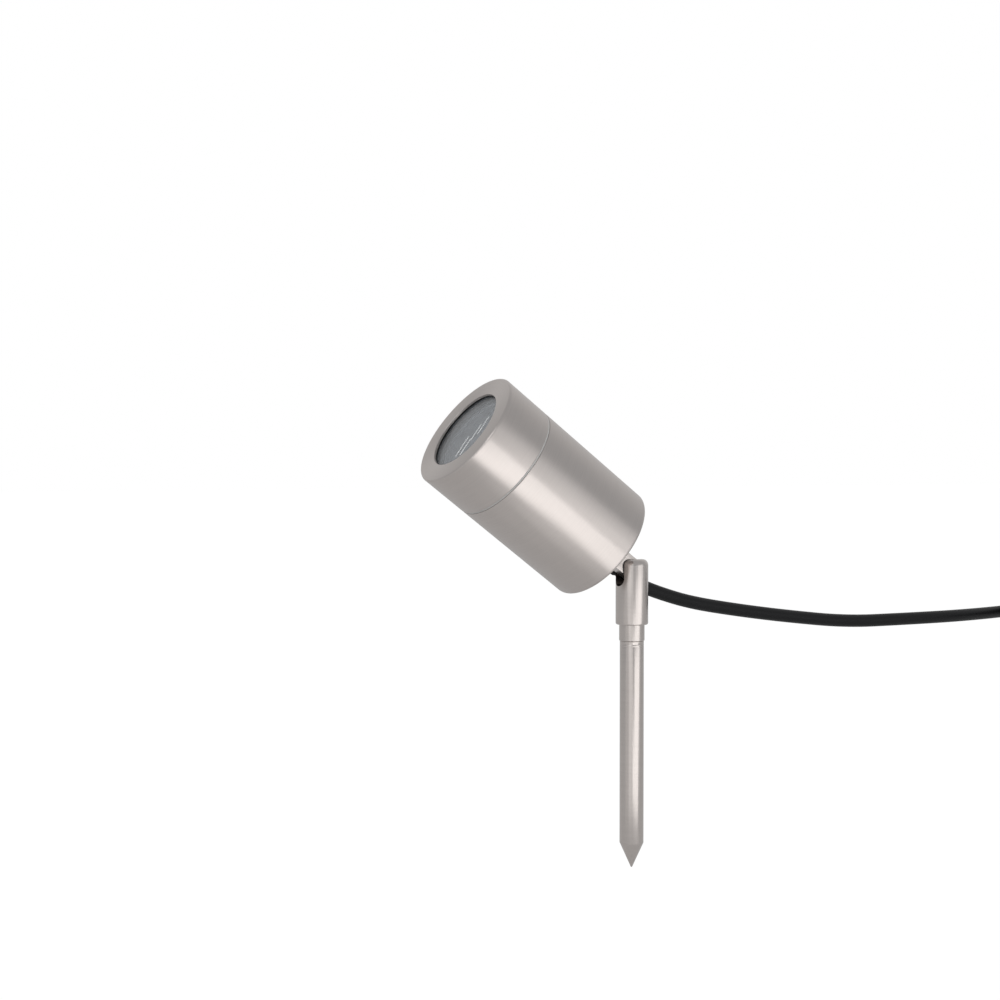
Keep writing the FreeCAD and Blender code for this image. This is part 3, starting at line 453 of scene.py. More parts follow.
def turned_grain_group():
    """Fine lines round an axis: noise that is slow round the axis and quick along it."""
    group, given, made = new_group("Turned grain", {"Lines per mm": 6.0, "Length": 0.06},
                                   ("Lines", "Clouds"))
    parts = add_node(group, "ShaderNodeSeparateXYZ", [(0, given.outputs["Place"])])
    x, y, z = parts.outputs
    across = math_node(group, "POWER", x, 2.0)
    upward = math_node(group, "POWER", y, 2.0)
    radius = math_node(group, "SQRT", math_node(group, "ADD", across, upward))
    reach = math_node(group, "ADD", radius, z)
    quick = math_node(group, "MULTIPLY", reach, given.outputs["Lines per mm"])
    slow_x = math_node(group, "MULTIPLY", x, given.outputs["Length"])
    slow_y = math_node(group, "MULTIPLY", y, given.outputs["Length"])
    place = add_node(group, "ShaderNodeCombineXYZ", [(0, slow_x), (1, slow_y), (2, quick)])
    lines = noise(group, place.outputs[0], 1.0, 4.0, 0.65)
    feed(group, made, [("Lines", lines),
                       ("Clouds", noise(group, given.outputs["Place"], 0.05, 3.0))])
    return group


def speckle_group():
    """Fine grain of moulded rubber and plastic, with faint dust where faces look up."""
    group, given, made = new_group("Moulded grain", {"Grains per mm": 2.5, "Dust": 0.1},
                                   ("Grain", "Dust mask"))
    grain = noise(group, given.outputs["Place"], given.outputs["Grains per mm"], 3.0)
    patches = noise(group, given.outputs["Place"], 0.12, 5.0)
    shape = add_node(group, "ShaderNodeNewGeometry")
    facing = add_node(group, "ShaderNodeSeparateXYZ", [(0, shape.outputs["Normal"])])
    upward = math_node(group, "MAXIMUM", facing.outputs["Z"], 0.0)
    uneven = math_node(group, "MULTIPLY", upward, patches)
    mask = math_node(group, "MULTIPLY", uneven, given.outputs["Dust"])
    feed(group, made, [("Grain", grain), ("Dust mask", mask)])
    return group


def group_node(tree, name, make, sources):
    """Node of the named group, which is made if it isn't there."""
    group = bpy.data.node_groups.get(name) or make()
    return add_node(tree, "ShaderNodeGroup", sources, node_tree=group)


def new_material(name):
    """Start a material: its tree and its Principled shader."""
    material = bpy.data.materials.new(name)
    material.use_nodes = True
    tree = material.node_tree
    return material, tree, tree.nodes["Principled BSDF"]


def place_node(tree, origin=ORIGIN, axes=WORLD_AXES):
    """Object coordinates in millimetres, in the frame of the given origin and axes."""
    turn = math.atan2(axes[2][1], axes[2][2])
    coordinates = add_node(tree, "ShaderNodeTexCoord")
    return add_node(tree, "ShaderNodeMapping", [
        ("Vector", coordinates.outputs["Object"]), ("Location", -(axes @ origin) / MM),
        ("Rotation", (turn, 0.0, 0.0)), ("Scale", (1 / MM,) * 3)],
        vector_type="POINT").outputs["Vector"]


def mix_colours(tree, amount, low, high):
    return add_node(tree, "ShaderNodeMix", [("Factor", amount), (6, low), (7, high)],
                    data_type="RGBA").outputs[2]


def spread(tree, mask, low, high):
    """Map a mask from 0..1 to low..high."""
    return add_node(tree, "ShaderNodeMapRange", [("Value", mask), ("To Min", low),
                                                 ("To Max", high)]).outputs["Result"]


def tinted(colour, factor):
    return tuple(min(1.0, part * factor) for part in colour) + (1.0,)


def slot_shade_mask(tree, place):
    """1 on the milled faces of the post's slot, where shade is painted into the steel's colour.

    A place's distance from the slot's middle line is sqrt(x^2 + min(z - centre, 0)^2).
    """
    radius, centre = slot_floor()
    parts = add_node(tree, "ShaderNodeSeparateXYZ", [(0, place)])
    across = math_node(tree, "POWER", math_node(tree, "ABSOLUTE", parts.outputs["X"]), 2.0)
    below = math_node(tree, "SUBTRACT", centre / MM, parts.outputs["Z"])
    below = math_node(tree, "POWER", math_node(tree, "MAXIMUM", below, 0.0), 2.0)
    distance = math_node(tree, "SQRT", math_node(tree, "ADD", across, below))
    return math_node(tree, "LESS_THAN", distance, radius / MM + SLOT_SHADE_MARGIN)


def turned_steel(name, origin, axes, roughness, anisotropy, lines_per_mm, painted_shade=None):
    """Satin stainless steel with fine lines round the axis of the piece, and painted shade on the faces that a
    given mask picks out.
    """
    material, tree, shader = new_material(name)
    steel = finishes().steel
    place = place_node(tree, origin, axes)
    grain = group_node(tree, "Turned grain", turned_grain_group,
                       [("Place", place), ("Lines per mm", lines_per_mm)])
    lines = grain.outputs["Lines"]
    base = mix_colours(tree, lines, tinted(steel, 0.9), tinted(steel, 1.1))
    # Painted shade: the steel's colour is darkened where the mask is 1, standing in for the shade in the slot.
    if painted_shade:
        base = mix_colours(tree, painted_shade(tree, place), base, tinted(steel, SLOT_SHADE_TONE))
    uneven = math_node(tree, "MULTIPLY_ADD", grain.outputs["Clouds"], CLOUD_SHARE, lines)
    bump = add_node(tree, "ShaderNodeBump", [("Height", lines), ("Distance", LINE_DEPTH),
                                             ("Strength", 0.5)])
    tangent = add_node(tree, "ShaderNodeTangent", direction_type="UV_MAP", uv_map="surface")
    feed(tree, shader, [
        ("Base Color", base), ("Metallic", 1.0),
        ("Roughness", spread(tree, uneven, roughness * 0.85, roughness * 1.15)),
        ("Normal", bump.outputs["Normal"]), ("Tangent", tangent.outputs["Tangent"]),
        ("Anisotropic", anisotropy), ("Anisotropic Rotation", 0.25)])
    return material


def moulded(name, colour, roughness, grains_per_mm, depth=0.03, dust=0.08, gloss=0.5,
            metallic=0.0):
    """Rubber, plastic, ceramic or plain metal with a fine grain and faint dust."""
    material, tree, shader = new_material(name)
    node = group_node(tree, "Moulded grain", speckle_group, [
        ("Place", place_node(tree)), ("Grains per mm", grains_per_mm), ("Dust", dust)])
    grain = node.outputs["Grain"]
    base = mix_colours(tree, grain, tinted(colour, 0.85), tinted(colour, 1.15))
    bump = add_node(tree, "ShaderNodeBump", [("Height", grain), ("Distance", depth * MM),
                                             ("Strength", 0.6)])
    feed(tree, shader, [
        ("Base Color", mix_colours(tree, node.outputs["Dust mask"], base, DUST)),
        ("Roughness", spread(tree, grain, roughness * 0.88, roughness * 1.12)),
        ("Normal", bump.outputs["Normal"]), ("Metallic", metallic),
        ("Specular IOR Level", gloss)])
    return material


def clear_glass(name):
    """Glass with a thin grey veil and faint smears in its gloss."""
    material, tree, shader = new_material(name)
    grain = group_node(tree, "Moulded grain", speckle_group, [
        ("Place", place_node(tree)), ("Grains per mm", 0.15)])
    feed(tree, shader, [
        ("Base Color", (0.62, 0.65, 0.68, 1)), ("Transmission Weight", 0.82), ("IOR", 1.5),
        ("Roughness", spread(tree, grain.outputs["Grain"], 0.0, SMEAR_ROUGHNESS))])
    return material


# Colour or finish, roughness, grains per mm, depth of grain in mm, dust, gloss, metal.
MOULDED = {
    "fastener_steel": ((0.55, 0.54, 0.53), 0.28, 1.5, 0.006, 0.02, 0.5, 1.0),
    "lug_steel": ("steel", 0.32, 1.2, 0.006, 0.02, 0.5, 1.0),
    "black_rubber": ("rubber", 0.55, 2.0, 0.02, 0.01, 0.12),
    "cord_rubber": ("rubber", 0.42, 1.4, 0.05, 0.015, 0.16),
    "black_nylon": ("nylon", 0.38, 2.2, 0.02, 0.01, 0.16),
    "pale_silicone": ("silicone", 0.4, 2.0, 0.01, 0.02),
    "lamp_glass": ((0.13, 0.14, 0.155), 0.16, 0.25, 0.0, 0.0),
    "lamp_white": ((0.62, 0.63, 0.63), 0.3, 1.0, 0.01, 0.0),
    "holder_ceramic": ((0.72, 0.69, 0.63), 0.6, 2.0, 0.03, 0.05),
    "brass": ((0.72, 0.52, 0.22), 0.3, 1.5, 0.005, 0.0, 0.5, 1.0),
    "zinc_sheet": ((0.6, 0.62, 0.64), 0.35, 0.6, 0.01, 0.0, 0.5, 1.0),
    "terminal_plastic": ((0.75, 0.74, 0.70), 0.45, 2.0),
    "wire_brown": ((0.13, 0.05, 0.025), 0.4, 1.5),
    "wire_blue": ((0.02, 0.08, 0.36), 0.4, 1.5),
    "wire_earth": ((0.14, 0.36, 0.03), 0.4, 1.5),
    "tinned_copper": ((0.66, 0.66, 0.67), 0.3, 1.5, 0.005, 0.0, 0.5, 1.0),
}
# The steels of the solids that are shown as they are.
PLAIN = {"brushed_steel": "lug_steel", "turned_steel": "post_steel"}
MATERIALS = {}


def make_materials():
    """Every material of the object, under its slot's name where the record has one."""
    MATERIALS["head_steel"] = turned_steel("head_steel", PIVOT, HEAD_AXES, 0.34, 0.75, 3.0)
    # The post's steel has painted shade in its slot.
    MATERIALS["post_steel"] = turned_steel("post_steel", ORIGIN, WORLD_AXES, 0.2, 0.5, 2.5,
                                           painted_shade=slot_shade_mask)
    MATERIALS["clear_glass"] = clear_glass("clear_glass")
    for name, (colour, *settings) in MOULDED.items():
        if isinstance(colour, str):
            colour = getattr(finishes(), colour)
        MATERIALS[name] = moulded(name, colour, *settings)
    for node, piece in frame["nodes"].items():
        slot = SLOTS[node]
        piece.data.materials.clear()
        piece.data.materials.append(MATERIALS[PLAIN.get(slot, slot)])


# ---------------- head

GLASS_CLEARANCE = 0.5 * MM
GLASS_EDGE = 0.4 * MM
LENS_BEAD = 1.0 * MM
LENS_DOME = 1.2 * MM
THREAD_CLEARANCE = 0.15 * MM
CHAMFER = 2.0 * MM
THREAD_POINTS = 8


def make_bezel():
    """Screwed front ring: turned outside, flat face, rounded rim and inner lip."""
    size = sizes()
    edge = size.edge_radius
    low, high, opening, outer = turned_size("bezel")
    bore = turned_size("glass")[3] + GLASS_CLEARANCE
    lip = turned_size("front_gasket")[1]
    profile = rounded_profile([
        (bore, low, edge / 2), (outer, low, edge), (outer, high, size.rim_radius),
        (opening, high, edge), (opening, lip, 0), (bore, lip, 0),
    ], steps=6)
    finish_piece(lathe("bezel_shell", profile), "head_steel", "bezel", "bezel")


def spigot_thread(angles, profile, low, high, radius):
    """Helical thread: each point of the spigot sinks by depth * (0.5 - 0.5 cos phase),
    where the phase turns once for each pitch along the axis and once round it."""
    size = sizes()
    heights = profile[:, 1][None, :]
    phase = 2 * math.pi * heights / size.thread_pitch - angles
    ends = np.clip((heights - low) / size.thread_pitch, 0, 1) * \
        np.clip((high - heights) / size.thread_pitch, 0, 1)
    outside = np.isclose(profile[:, 0][None, :], radius, atol=0.05 * MM)
    return np.where(outside, -size.thread_depth * (0.5 - 0.5 * np.cos(phase)) * ends, 0)


def make_housing():
    """Cup with a rounded rear, a flat rear wall and a threaded spigot."""
    size = sizes()
    edge = size.edge_radius
    low, high, _, outer = turned_size("housing")
    shoulder = turned_size("seam_ring")[0]
    spigot = turned_size("glass")[3] + GLASS_CLEARANCE - THREAD_CLEARANCE
    inside = spigot - size.spigot_wall
    bore = outer - size.wall
    floor = low + size.rear_wall
    steps = int((high - shoulder) / size.thread_pitch * THREAD_POINTS)
    climb = [(spigot, height, 0) for height in np.linspace(shoulder, high - edge, steps)]
    profile = rounded_profile(
        [(0, low, 0), (outer, low, size.rear_radius), (outer, shoulder, edge)] + climb
        + [(spigot - edge, high, 0), (inside, high, 0), (inside, shoulder, 0),
           (bore, shoulder - CHAMFER, 0), (bore, floor, 0), (0, floor, 0)], steps=8)

    mesh = lathe("housing_shell", profile, closed=False,
                 ripple=lambda *grid: spigot_thread(*grid, shoulder, high, spigot))
    finish_piece(mesh, "head_steel", "head", "housing")


def make_seals():
    """Pale ring in the joint, and the two black gaskets of the glass."""
    for node, name, body, edge in (("seam_ring", "seam_seal", "head", 0.25 * MM),
                                   ("front_gasket", "front_seal", "glass_pack", 0.3 * MM),
                                   ("rear_gasket", "rear_seal", "glass_pack", 0.4 * MM)):
        low, high, inner, outer = turned_size(node)
        profile = rounded_box(inner, outer, low, high, edge, edge)
        finish_piece(lathe(name, profile), SLOTS[node], body, node)


def make_glass():
    """Front glass with ground edges.

    A point on each face beside the rounding keeps the face's shading flat.
    """
    low, high, _, outer = turned_size("glass")
    flat = outer - 3 * GLASS_EDGE
    profile = rounded_profile([(0, low, 0), (flat, low, 0), (outer, low, GLASS_EDGE),
                               (outer, high, GLASS_EDGE), (flat, high, 0), (0, high, 0)])
    finish_piece(lathe("front_glass", profile, closed=False), "clear_glass", "glass_pack",
                 "glass")


def make_lens():
    """Pressed lens of the lamp: a low dome with a bead round it.

    The height at radius r is front - dome * (r / outer)^2, and the bead is half a
    circle that stands on the rim.
    """
    low, high, _, outer = turned_size("lamp_lens")
    radii = np.linspace(0, outer - 2 * LENS_BEAD, 24)
    crown = np.column_stack([radii, high - LENS_DOME * (radii / outer) ** 2])
    turn = np.linspace(math.pi, 0, 13)
    rim = np.column_stack([outer - LENS_BEAD + LENS_BEAD * np.cos(turn),
                           high - LENS_BEAD + LENS_BEAD * np.sin(turn)])
    profile = np.vstack([crown, rim, [(outer, low), (0, low)]])
    finish_piece(lathe("lamp_face", profile, closed=False), "lamp_glass", "lamp", "lamp_lens")


# ---------------- post and spike

PIVOT_AXES = np.array([[0.0, 1.0, 0.0], [0.0, 0.0, 1.0], [1.0, 0.0, 0.0]])
SLOT_AXES = np.array([[1.0, 0.0, 0.0], [0.0, 0.0, 1.0], [0.0, -1.0, 0.0]])
STUD_BORE = 4.05 * MM
JOINT_DEPTH = 11.0 * MM
SCREW_HEAD = 3.75 * MM
SCREW_HEAD_HEIGHT = 2.0 * MM
SCREW_SHANK = 2.05 * MM
SINK = 0.5 * MM
BLIND_WALL = 1.3 * MM
COLLAR_BEVEL = 0.25 * MM
WAIST_ROUNDING = 0.8 * MM
SPIKE_BEVEL = 0.2 * MM
TIP_RADIUS = 0.3 * MM
TIP_ROUNDING = 0.2 * MM
POINT_ROUNDING = 0.5 * MM
# Height, width and depth of the fine lines turned below the spike's joint.
TURNED_LINES = ((-2.5 * MM, 0.25 * MM, 0.02 * MM), (-1.5 * MM, 0.3 * MM, 0.06 * MM))


def slot_floor():
    """Radius and height of the centre of the slot's round floor."""
    size = sizes()
    radius = size.slot_width / 2
    return radius, turned_size("post", ORIGIN, WORLD_AXES)[1] - size.slot_depth + radius


def slot_outline(top):
    """The slot seen along Y: straight cheeks and a round floor."""
    radius, centre = slot_floor()
    turn = np.linspace(math.pi, 2 * math.pi, 33)
    floor = np.column_stack([radius * np.cos(turn), centre + radius * np.sin(turn)])
    return np.vstack([[(-radius, top + MM)], floor, [(radius, top + MM)]])


def make_post():
    """Turned post on its collar, slotted for the lug and bored for the pivot screw."""
    size = sizes()
    _, top, _, outer = turned_size("post", ORIGIN, WORLD_AXES)
    collar = size.collar_diameter / 2
    waist = size.collar_height
    profile = rounded_profile([
        (0, JOINT_DEPTH, 0), (STUD_BORE, JOINT_DEPTH, 0), (STUD_BORE, 0, 0),
        (collar - COLLAR_BEVEL, 0, 0), (collar, COLLAR_BEVEL, 0.15 * MM), (collar, waist, 0),
        (outer, waist, WAIST_ROUNDING), (outer, top, size.post_rounding), (0, top, 0),
    ], steps=8)
    mesh = lathe("post_body", profile, ORIGIN, WORLD_AXES, closed=False)
    slot = prism("slot", slot_outline(top), -2 * outer, 2 * outer, ORIGIN, SLOT_AXES)
    sink = np.array([(0, -2 * outer), (SCREW_HEAD, -2 * outer), (SCREW_HEAD, SINK - outer),
                     (SCREW_SHANK, SINK - outer + SCREW_HEAD_HEIGHT),
                     (SCREW_SHANK, outer - BLIND_WALL), (0, outer - BLIND_WALL)])
    hole = lathe("pivot_hole", sink, PIVOT, PIVOT_AXES, closed=False, steps=48)
    finish_piece(cut_away(mesh, [slot, hole]), "post_steel", "root", "post")


def make_spike():
    """Turned rod with a point, fine turned lines below the joint and a bored top."""
    low, _, _, outer = turned_size("spike", ORIGIN, WORLD_AXES)
    corners = [(0, low, 0), (TIP_RADIUS, low, TIP_ROUNDING),
               (outer, low + sizes().point_length, POINT_ROUNDING)]
    for place, width, depth in TURNED_LINES:
        corners += [(outer, place - width, 0), (outer - depth, place - width / 2, 0),
                    (outer, place, 0)]
    corners += [(outer, -SPIKE_BEVEL, 0), (outer - SPIKE_BEVEL, 0, 0), (STUD_BORE, 0, 0),
                (STUD_BORE, -JOINT_DEPTH, 0), (0, -JOINT_DEPTH, 0)]
    mesh = lathe("spike_rod", rounded_profile(corners, steps=6), ORIGIN, WORLD_AXES,
                 closed=False)
    finish_piece(mesh, "post_steel", "root", "spike")


def make_lug():
    """Milled lug with eased edges, and the pivot screw in the far cheek."""
    finish_piece(eased_copy("lug", "lug_arm", 0.5 * MM), "lug_steel", "head", "lug")
    finish_piece(eased_copy("pivot_screw", "pivot_bolt", 0.12 * MM),
                 "fastener_steel", "root", "pivot_screw")


# ---------------- gland

NOSE_STEP = 0.8 * MM
FLUTE_DEPTH = 0.45 * MM
FLUTE_LEAD = 0.3 * MM
RELIEF_GROOVES = 5
GROOVE_WALL = 0.35 * MM
GROOVE_WIDTH = 1.0 * MM
GROOVE_ROUNDING = 0.15 * MM
RIB_ROUNDING = 0.3 * MM


def gland_origin():
    return PIVOT - ACROSS * sizes().gland_offset


def make_gland():
    """Hexagonal body, fluted cap and ribbed bend relief where the cord leaves."""
    size = sizes()
    origin = gland_origin()
    finish_piece(eased_copy("gland_body", "gland_hexagon", 0.3 * MM),
                 "black_nylon", "head", "gland_body")
    low, high, bore, outer = turned_size("gland_cap", origin)
    nose = outer - NOSE_STEP
    third = low + (high - low) / 3
    profile = rounded_profile([(bore, low, 0), (nose, low, 0.5 * MM), (outer, third, 1 * MM),
                               (outer, high, 0.4 * MM), (bore, high, 0)], steps=6)

    def flutes(angles, profile):
        """The outside sinks by depth * max(0, cos(flutes * angle))^2."""
        outside = np.clip((profile[:, 0] - nose + FLUTE_LEAD) / NOSE_STEP, 0, 1)[None, :]
        wave = np.maximum(0, np.cos(size.cap_flutes * angles)) ** 2
        return -FLUTE_DEPTH * wave * outside
    finish_piece(lathe("gland_dome", profile, origin, ripple=flutes),
                 "black_nylon", "head", "gland_cap")
    make_relief(origin, low)


def make_relief(origin, cap_low):
    """Tapered tube with round-edged ribs, from its thin end to its root in the cap."""
    size = sizes()
    low, high, bore, outer = turned_size("strain_relief", origin)
    end = size.relief_end_diameter / 2
    groove = bore + GROOVE_WALL
    slope = (outer - end) / (cap_low - low)
    corners = [(bore, low, 0), (end, low, RIB_ROUNDING)]
    for number in range(1, RELIEF_GROOVES + 1):
        start = low + number * size.rib_pitch
        stop = start + GROOVE_WIDTH
        corners += [(end + slope * (start - low), start, RIB_ROUNDING),
                    (groove, start, GROOVE_ROUNDING), (groove, stop, GROOVE_ROUNDING),
                    (end + slope * (stop - low), stop, RIB_ROUNDING)]
    corners += [(outer, cap_low, 0), (outer, high, 0), (bore, high, 0)]
    finish_piece(lathe("bend_relief", rounded_profile(corners), origin, steps=64),
                 "black_rubber", "head", "strain_relief")


# ---------------- cord

GROUND = -2.0 * MM
CORD_STRAIGHT = 12.0 * MM
ROUTE = np.array([
    (-0.0132, 0.0235, 0.0220),
    (-0.0138, 0.0446, 0.0159),
    (-0.0140, 0.0740, 0.0108),
    (-0.0134, 0.1060, 0.0062),
    (-0.0124, 0.1470, 0.0014),
    (-0.0095, 0.1840, 0.0014),
    (-0.0090, 0.2220, 0.0014),
    (-0.0145, 0.2595, 0.0014),
])
COIL_CENTRE = np.array([0.0215, 0.302, GROUND])
# How far along the tail each point lies, and whether it is still on top of the coil.
TAIL = ((14.0 * MM, True), (42.0 * MM, False), (56.0 * MM, False))
STEP_START = 0.80
CLIMB_START = 0.50
CORE_SPREAD = 1.65 * MM
CORE_RADIUS = 1.1 * MM
CORE_LENGTH = 22.0 * MM
CORE_STEP = 4.0 * MM
CORE_START = 2.0 * MM
# Places along a sleeve from its core's end, and its radii there, in millimetres.
SLEEVE_PLACES = (-4.0, -1.0, 0.0, 8.0)
SLEEVE_RADII = (1.9, 1.9, 1.25, 1.2)
# Each core's colour and how far it ends beside the cord's own line, in millimetres.
CORE_FAN = (("brown", -2.4), ("blue", -6.6), ("earth", 1.4))
TIE_BEARING = -75.0
TIE_WIDTH = 6.0 * MM
TIE_THICKNESS = 1.2 * MM
TIE_GAP = 0.1 * MM
# The tie's lock: half its side, and how deep in the strap and how far out it stands.
LOCK_HALF = 4.0 * MM
LOCK_LOW, LOCK_HIGH = -0.5 * MM, 4.2 * MM


def eased(value):
    """Smooth step from 0 to 1."""
    value = np.clip(value, 0, 1)
    return value * value * (3 - 2 * value)


def coil_points(touch_bearing, turns):
    """Control points of the coil's turns, clockwise from where the run touches it.

    Turn n of the lower layer has the radius mean + diameter * (1 - n), and turn n of the
    upper one mean + diameter * (n - 1).  A turn steps to the next radius in its last
    part, and the last lower turn climbs one diameter before that.
    """
    size = sizes()
    diameter, wide = size.cord_diameter, size.turns_wide
    amounts = np.arange(1, int(turns * size.points_per_turn) + 1) / size.points_per_turn
    whole = np.floor(amounts)
    step = eased((amounts - whole - STEP_START) / (1 - STEP_START))
    stepped = whole + step
    inward = np.minimum(stepped, wide - 1)
    outward = np.maximum(stepped - wide, 0)
    radii = size.coil_mean_radius + diameter * ((wide - 1) / 2 - inward + outward)
    climb = eased((amounts - (wide - 1) - CLIMB_START) / (STEP_START - CLIMB_START))
    heights = diameter * (0.5 + climb)
    bearings = touch_bearing - 2 * math.pi * amounts
    return COIL_CENTRE + np.column_stack([
        radii * np.cos(bearings), radii * np.sin(bearings), heights])


def cord_points():
    """Control points of the whole cord, from the bend relief to the stripped end."""
    size = sizes()
    origin = gland_origin()
    exit_point = origin + BEAM * turned_size("strain_relief", origin)[0]
    outer_turn = size.coil_mean_radius + size.cord_diameter * (size.turns_wide - 1) / 2
    offset = COIL_CENTRE[:2] - ROUTE[-1][:2]
    reach = np.hypot(*offset)
    bearing = math.atan2(offset[1], offset[0]) + math.asin(outer_turn / reach)
    length = math.sqrt(reach ** 2 - outer_turn ** 2)
    touch = ROUTE[-1] + length * np.array([math.cos(bearing), math.sin(bearing), 0])
    start = touch - COIL_CENTRE
    touch_bearing = math.atan2(start[1], start[0])
    turns = 2 * size.turns_wide - 1 + (touch_bearing / (2 * math.pi)) % 1
    top = GROUND + 1.5 * size.cord_diameter
    lying = GROUND + 0.5 * size.cord_diameter
    tail = np.array([(COIL_CENTRE[0] + outer_turn, COIL_CENTRE[1] - along,
                      top if raised else lying) for along, raised in TAIL])
    return np.concatenate([[exit_point, exit_point - BEAM * CORD_STRAIGHT], ROUTE, [touch],
                           coil_points(touch_bearing, turns), tail])


def make_cord():
    """The whole cord as one tube along its line."""
    size = sizes()
    points = cord_points()
    line = smooth_line(points)
    cord = finish_piece(tube("cord", line, size.cord_diameter / 2), "cord_rubber", None,
                        "cord_lead", "cord_run", "cord_coil", "cord_tail")
    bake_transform(cord)
    ends = make_cores(points[-1])
    tie = make_tie()


def make_cores(end):
    """Three cores that fan out from the cut sheath, each with a crimped sleeve.

    Core n leaves at bearing 90 + 120 n degrees and bends outwards to its own place on
    the ground; the sleeve is a tube of its own on the core's last part.
    """
    pieces = []
    for number, (label, sideways) in enumerate(CORE_FAN):
        bearing = math.radians(90 + 120 * number)
        start = end + CORE_SPREAD * np.array([math.cos(bearing), 0, math.sin(bearing)])
        length = CORE_LENGTH + CORE_STEP * number
        amounts = np.linspace(0, 1, 17)[:, None]
        finish = np.array([end[0] + sideways * MM, end[1] - length,
                           GROUND + CORE_RADIUS + 0.3 * MM])
        path = start + (finish - start) * np.column_stack([
            eased(amounts), amounts, eased(amounts)])
        path[0, 1] += CORE_START
        core = tube(f"core_{label}_bent", path, CORE_RADIUS, steps=16)
        pieces.append(finish_piece(core, f"wire_{label}", "root", f"core_{label}"))
        onward = unit(path[-1] - path[-2])
        along = np.linspace(SLEEVE_PLACES[0], SLEEVE_PLACES[-1], 13)
        radii = np.interp(along, SLEEVE_PLACES, SLEEVE_RADII) * MM
        sleeve = tube(f"sleeve_{label}", path[-1] + onward * along[:, None] * MM, radii,
                      steps=16)
        pieces.append(finish_piece(sleeve, "tinned_copper", "root", "core_ferrules"))
    return pieces


def make_tie():
    """Strap round the coil's band, with the square head that locks it.

    The strap's path is a rounded rectangle in the plane of the coil's radius and Z, and
    its section is thickness by width.
    """
    size = sizes()
    half_band = size.turns_wide * size.cord_diameter / 2
    turn = math.radians(TIE_BEARING)
    outward = np.array([math.cos(turn), math.sin(turn), 0])
    along = np.array([-math.sin(turn), math.cos(turn), 0])
    axes = np.array([outward, [0, 0, 1], along])
    origin = COIL_CENTRE + outward * size.coil_mean_radius + \
        np.array([0, 0, size.cord_diameter])
    across, up = half_band + TIE_GAP, size.cord_diameter + TIE_GAP
    corner = size.cord_diameter / 2
    inner = rounded_box(-across, across, -up, up, corner, corner, steps=10)
    ahead = np.roll(inner, -1, axis=0) - np.roll(inner, 1, axis=0)
    normals = np.column_stack([ahead[:, 1], -ahead[:, 0]])
    normals /= np.linalg.norm(normals, axis=1)[:, None]
    section = rounded_box(0, TIE_THICKNESS, -TIE_WIDTH / 2, TIE_WIDTH / 2, 0.2 * MM,
                          0.3 * MM, steps=3)
    flat = inner[:, None, :] + normals[:, None, :] * section[None, :, :1]
    widths = np.broadcast_to(section[None, :, 1:], flat.shape[:2] + (1,))
    grid = origin + np.concatenate([flat, widths], axis=2) @ axes
    uv = (np.linspace(0, 1, len(inner) + 1), np.linspace(0, 1, len(section) + 1))
    strap = finish_piece(grid_mesh("tie_strap", grid, uv, True),
                         "black_nylon", "root", "coil_tie")
    place = origin + outward * across + np.array([0, 0, 0.2 * size.cord_diameter])
    lock = rounded_box(LOCK_LOW, LOCK_HIGH, -LOCK_HALF, LOCK_HALF, 0.6 * MM, 1 * MM)
    block = finish_piece(prism("tie_lock", lock, -LOCK_HALF, LOCK_HALF, place, axes),
                         "black_nylon", "root", "coil_tie")
    return [strap, block]


# ---------------- stage

CAMERA_PLACE = (0.6591, -0.4331, 0.0856)
CAMERA_AZIMUTH = math.radians(61.41)
CAMERA_DROP = math.radians(1.20)
LENS_MM = 57.6
SENSOR_MM = 36.0
# How much of the floor is plain white to the camera, and how much of that to metal.
WHITE_SHARE = 0.93
GLOW = 1.065
FLOOR_IN_METAL = 0.3
FLOOR_HALF = 12.0
FLOOR_GAP = 0.5 * MM
MIDDLE = (0.0, -0.03, 0.03)
# Two planes through the head's axis bound the bright band along the head, at these
# angles round it; the card reaches from the near to the far distance on each.
BRIGHT_CARD = ((-44.7, 0.27), (-44.7, 0.9), (-4.3, 0.9), (-4.3, 0.23))
BRIGHT_RADIANCE = 1.8
# First and last azimuth and radiance of the cards that stand round the spike.
SPIKE_CARDS = {"spike_right": (-7, 30, 1.55), "spike_left": (-60, -24, 0.95),
               "spike_far_left": (-92, -60, 0.68)}
SPIKE_CARD_DISTANCE = 0.12
# The strips of light that show as fine streaks in the front glass: how far each one's
# streak is beside the head's axis, and from where to where it reaches, in millimetres.
GLINTS = ((4.3, -14.6, -2.8), (7.8, -13.6, -4.2), (8.8, -5.0, 4.0), (11.6, -1.5, 8.4))
GLINT_HALF = 0.42 * MM
GLINT_DISTANCE = 0.5
GLINT_RADIANCE = 3.0
# The backdrop's direction, and the cosines to it between which its white fades in.
BACKDROP_WAY = (-0.84, 0.54, 0.05)
BACKDROP_FADE = (0.1, 0.95)
BACKDROP_WHITE = (0.68, 0.68, 0.68, 1.0)
ROOM_GREY = (0.50, 0.51, 0.52, 1.0)


def make_camera():
    camera = bpy.data.cameras.new("camera")
    camera.lens = LENS_MM
    camera.sensor_width = SENSOR_MM
    camera.clip_start = 0.01
    holder = add_object("camera", camera)
    holder.location = CAMERA_PLACE
    holder.rotation_euler = (math.pi / 2 - CAMERA_DROP, 0, CAMERA_AZIMUTH)
    bpy.context.scene.camera = holder


def seen_white(tree, level):
    """1 for camera and transmission rays, and the given level for glossy ones."""
    path = add_node(tree, "ShaderNodeLightPath")
    direct = math_node(tree, "MAXIMUM", path.outputs["Is Camera Ray"],
                       path.outputs["Is Transmission Ray"])
    glossy = math_node(tree, "MULTIPLY", path.outputs["Is Glossy Ray"], level)
    return math_node(tree, "MAXIMUM", direct, glossy)


def add_sheet(name, corners, material):
    """One flat face of the stage."""
    mesh = bpy.data.meshes.new(name)
    mesh.from_pydata(corners, [], [range(len(corners))])
    mesh.materials.append(material)
    sheet = add_object(name, mesh)
    return sheet


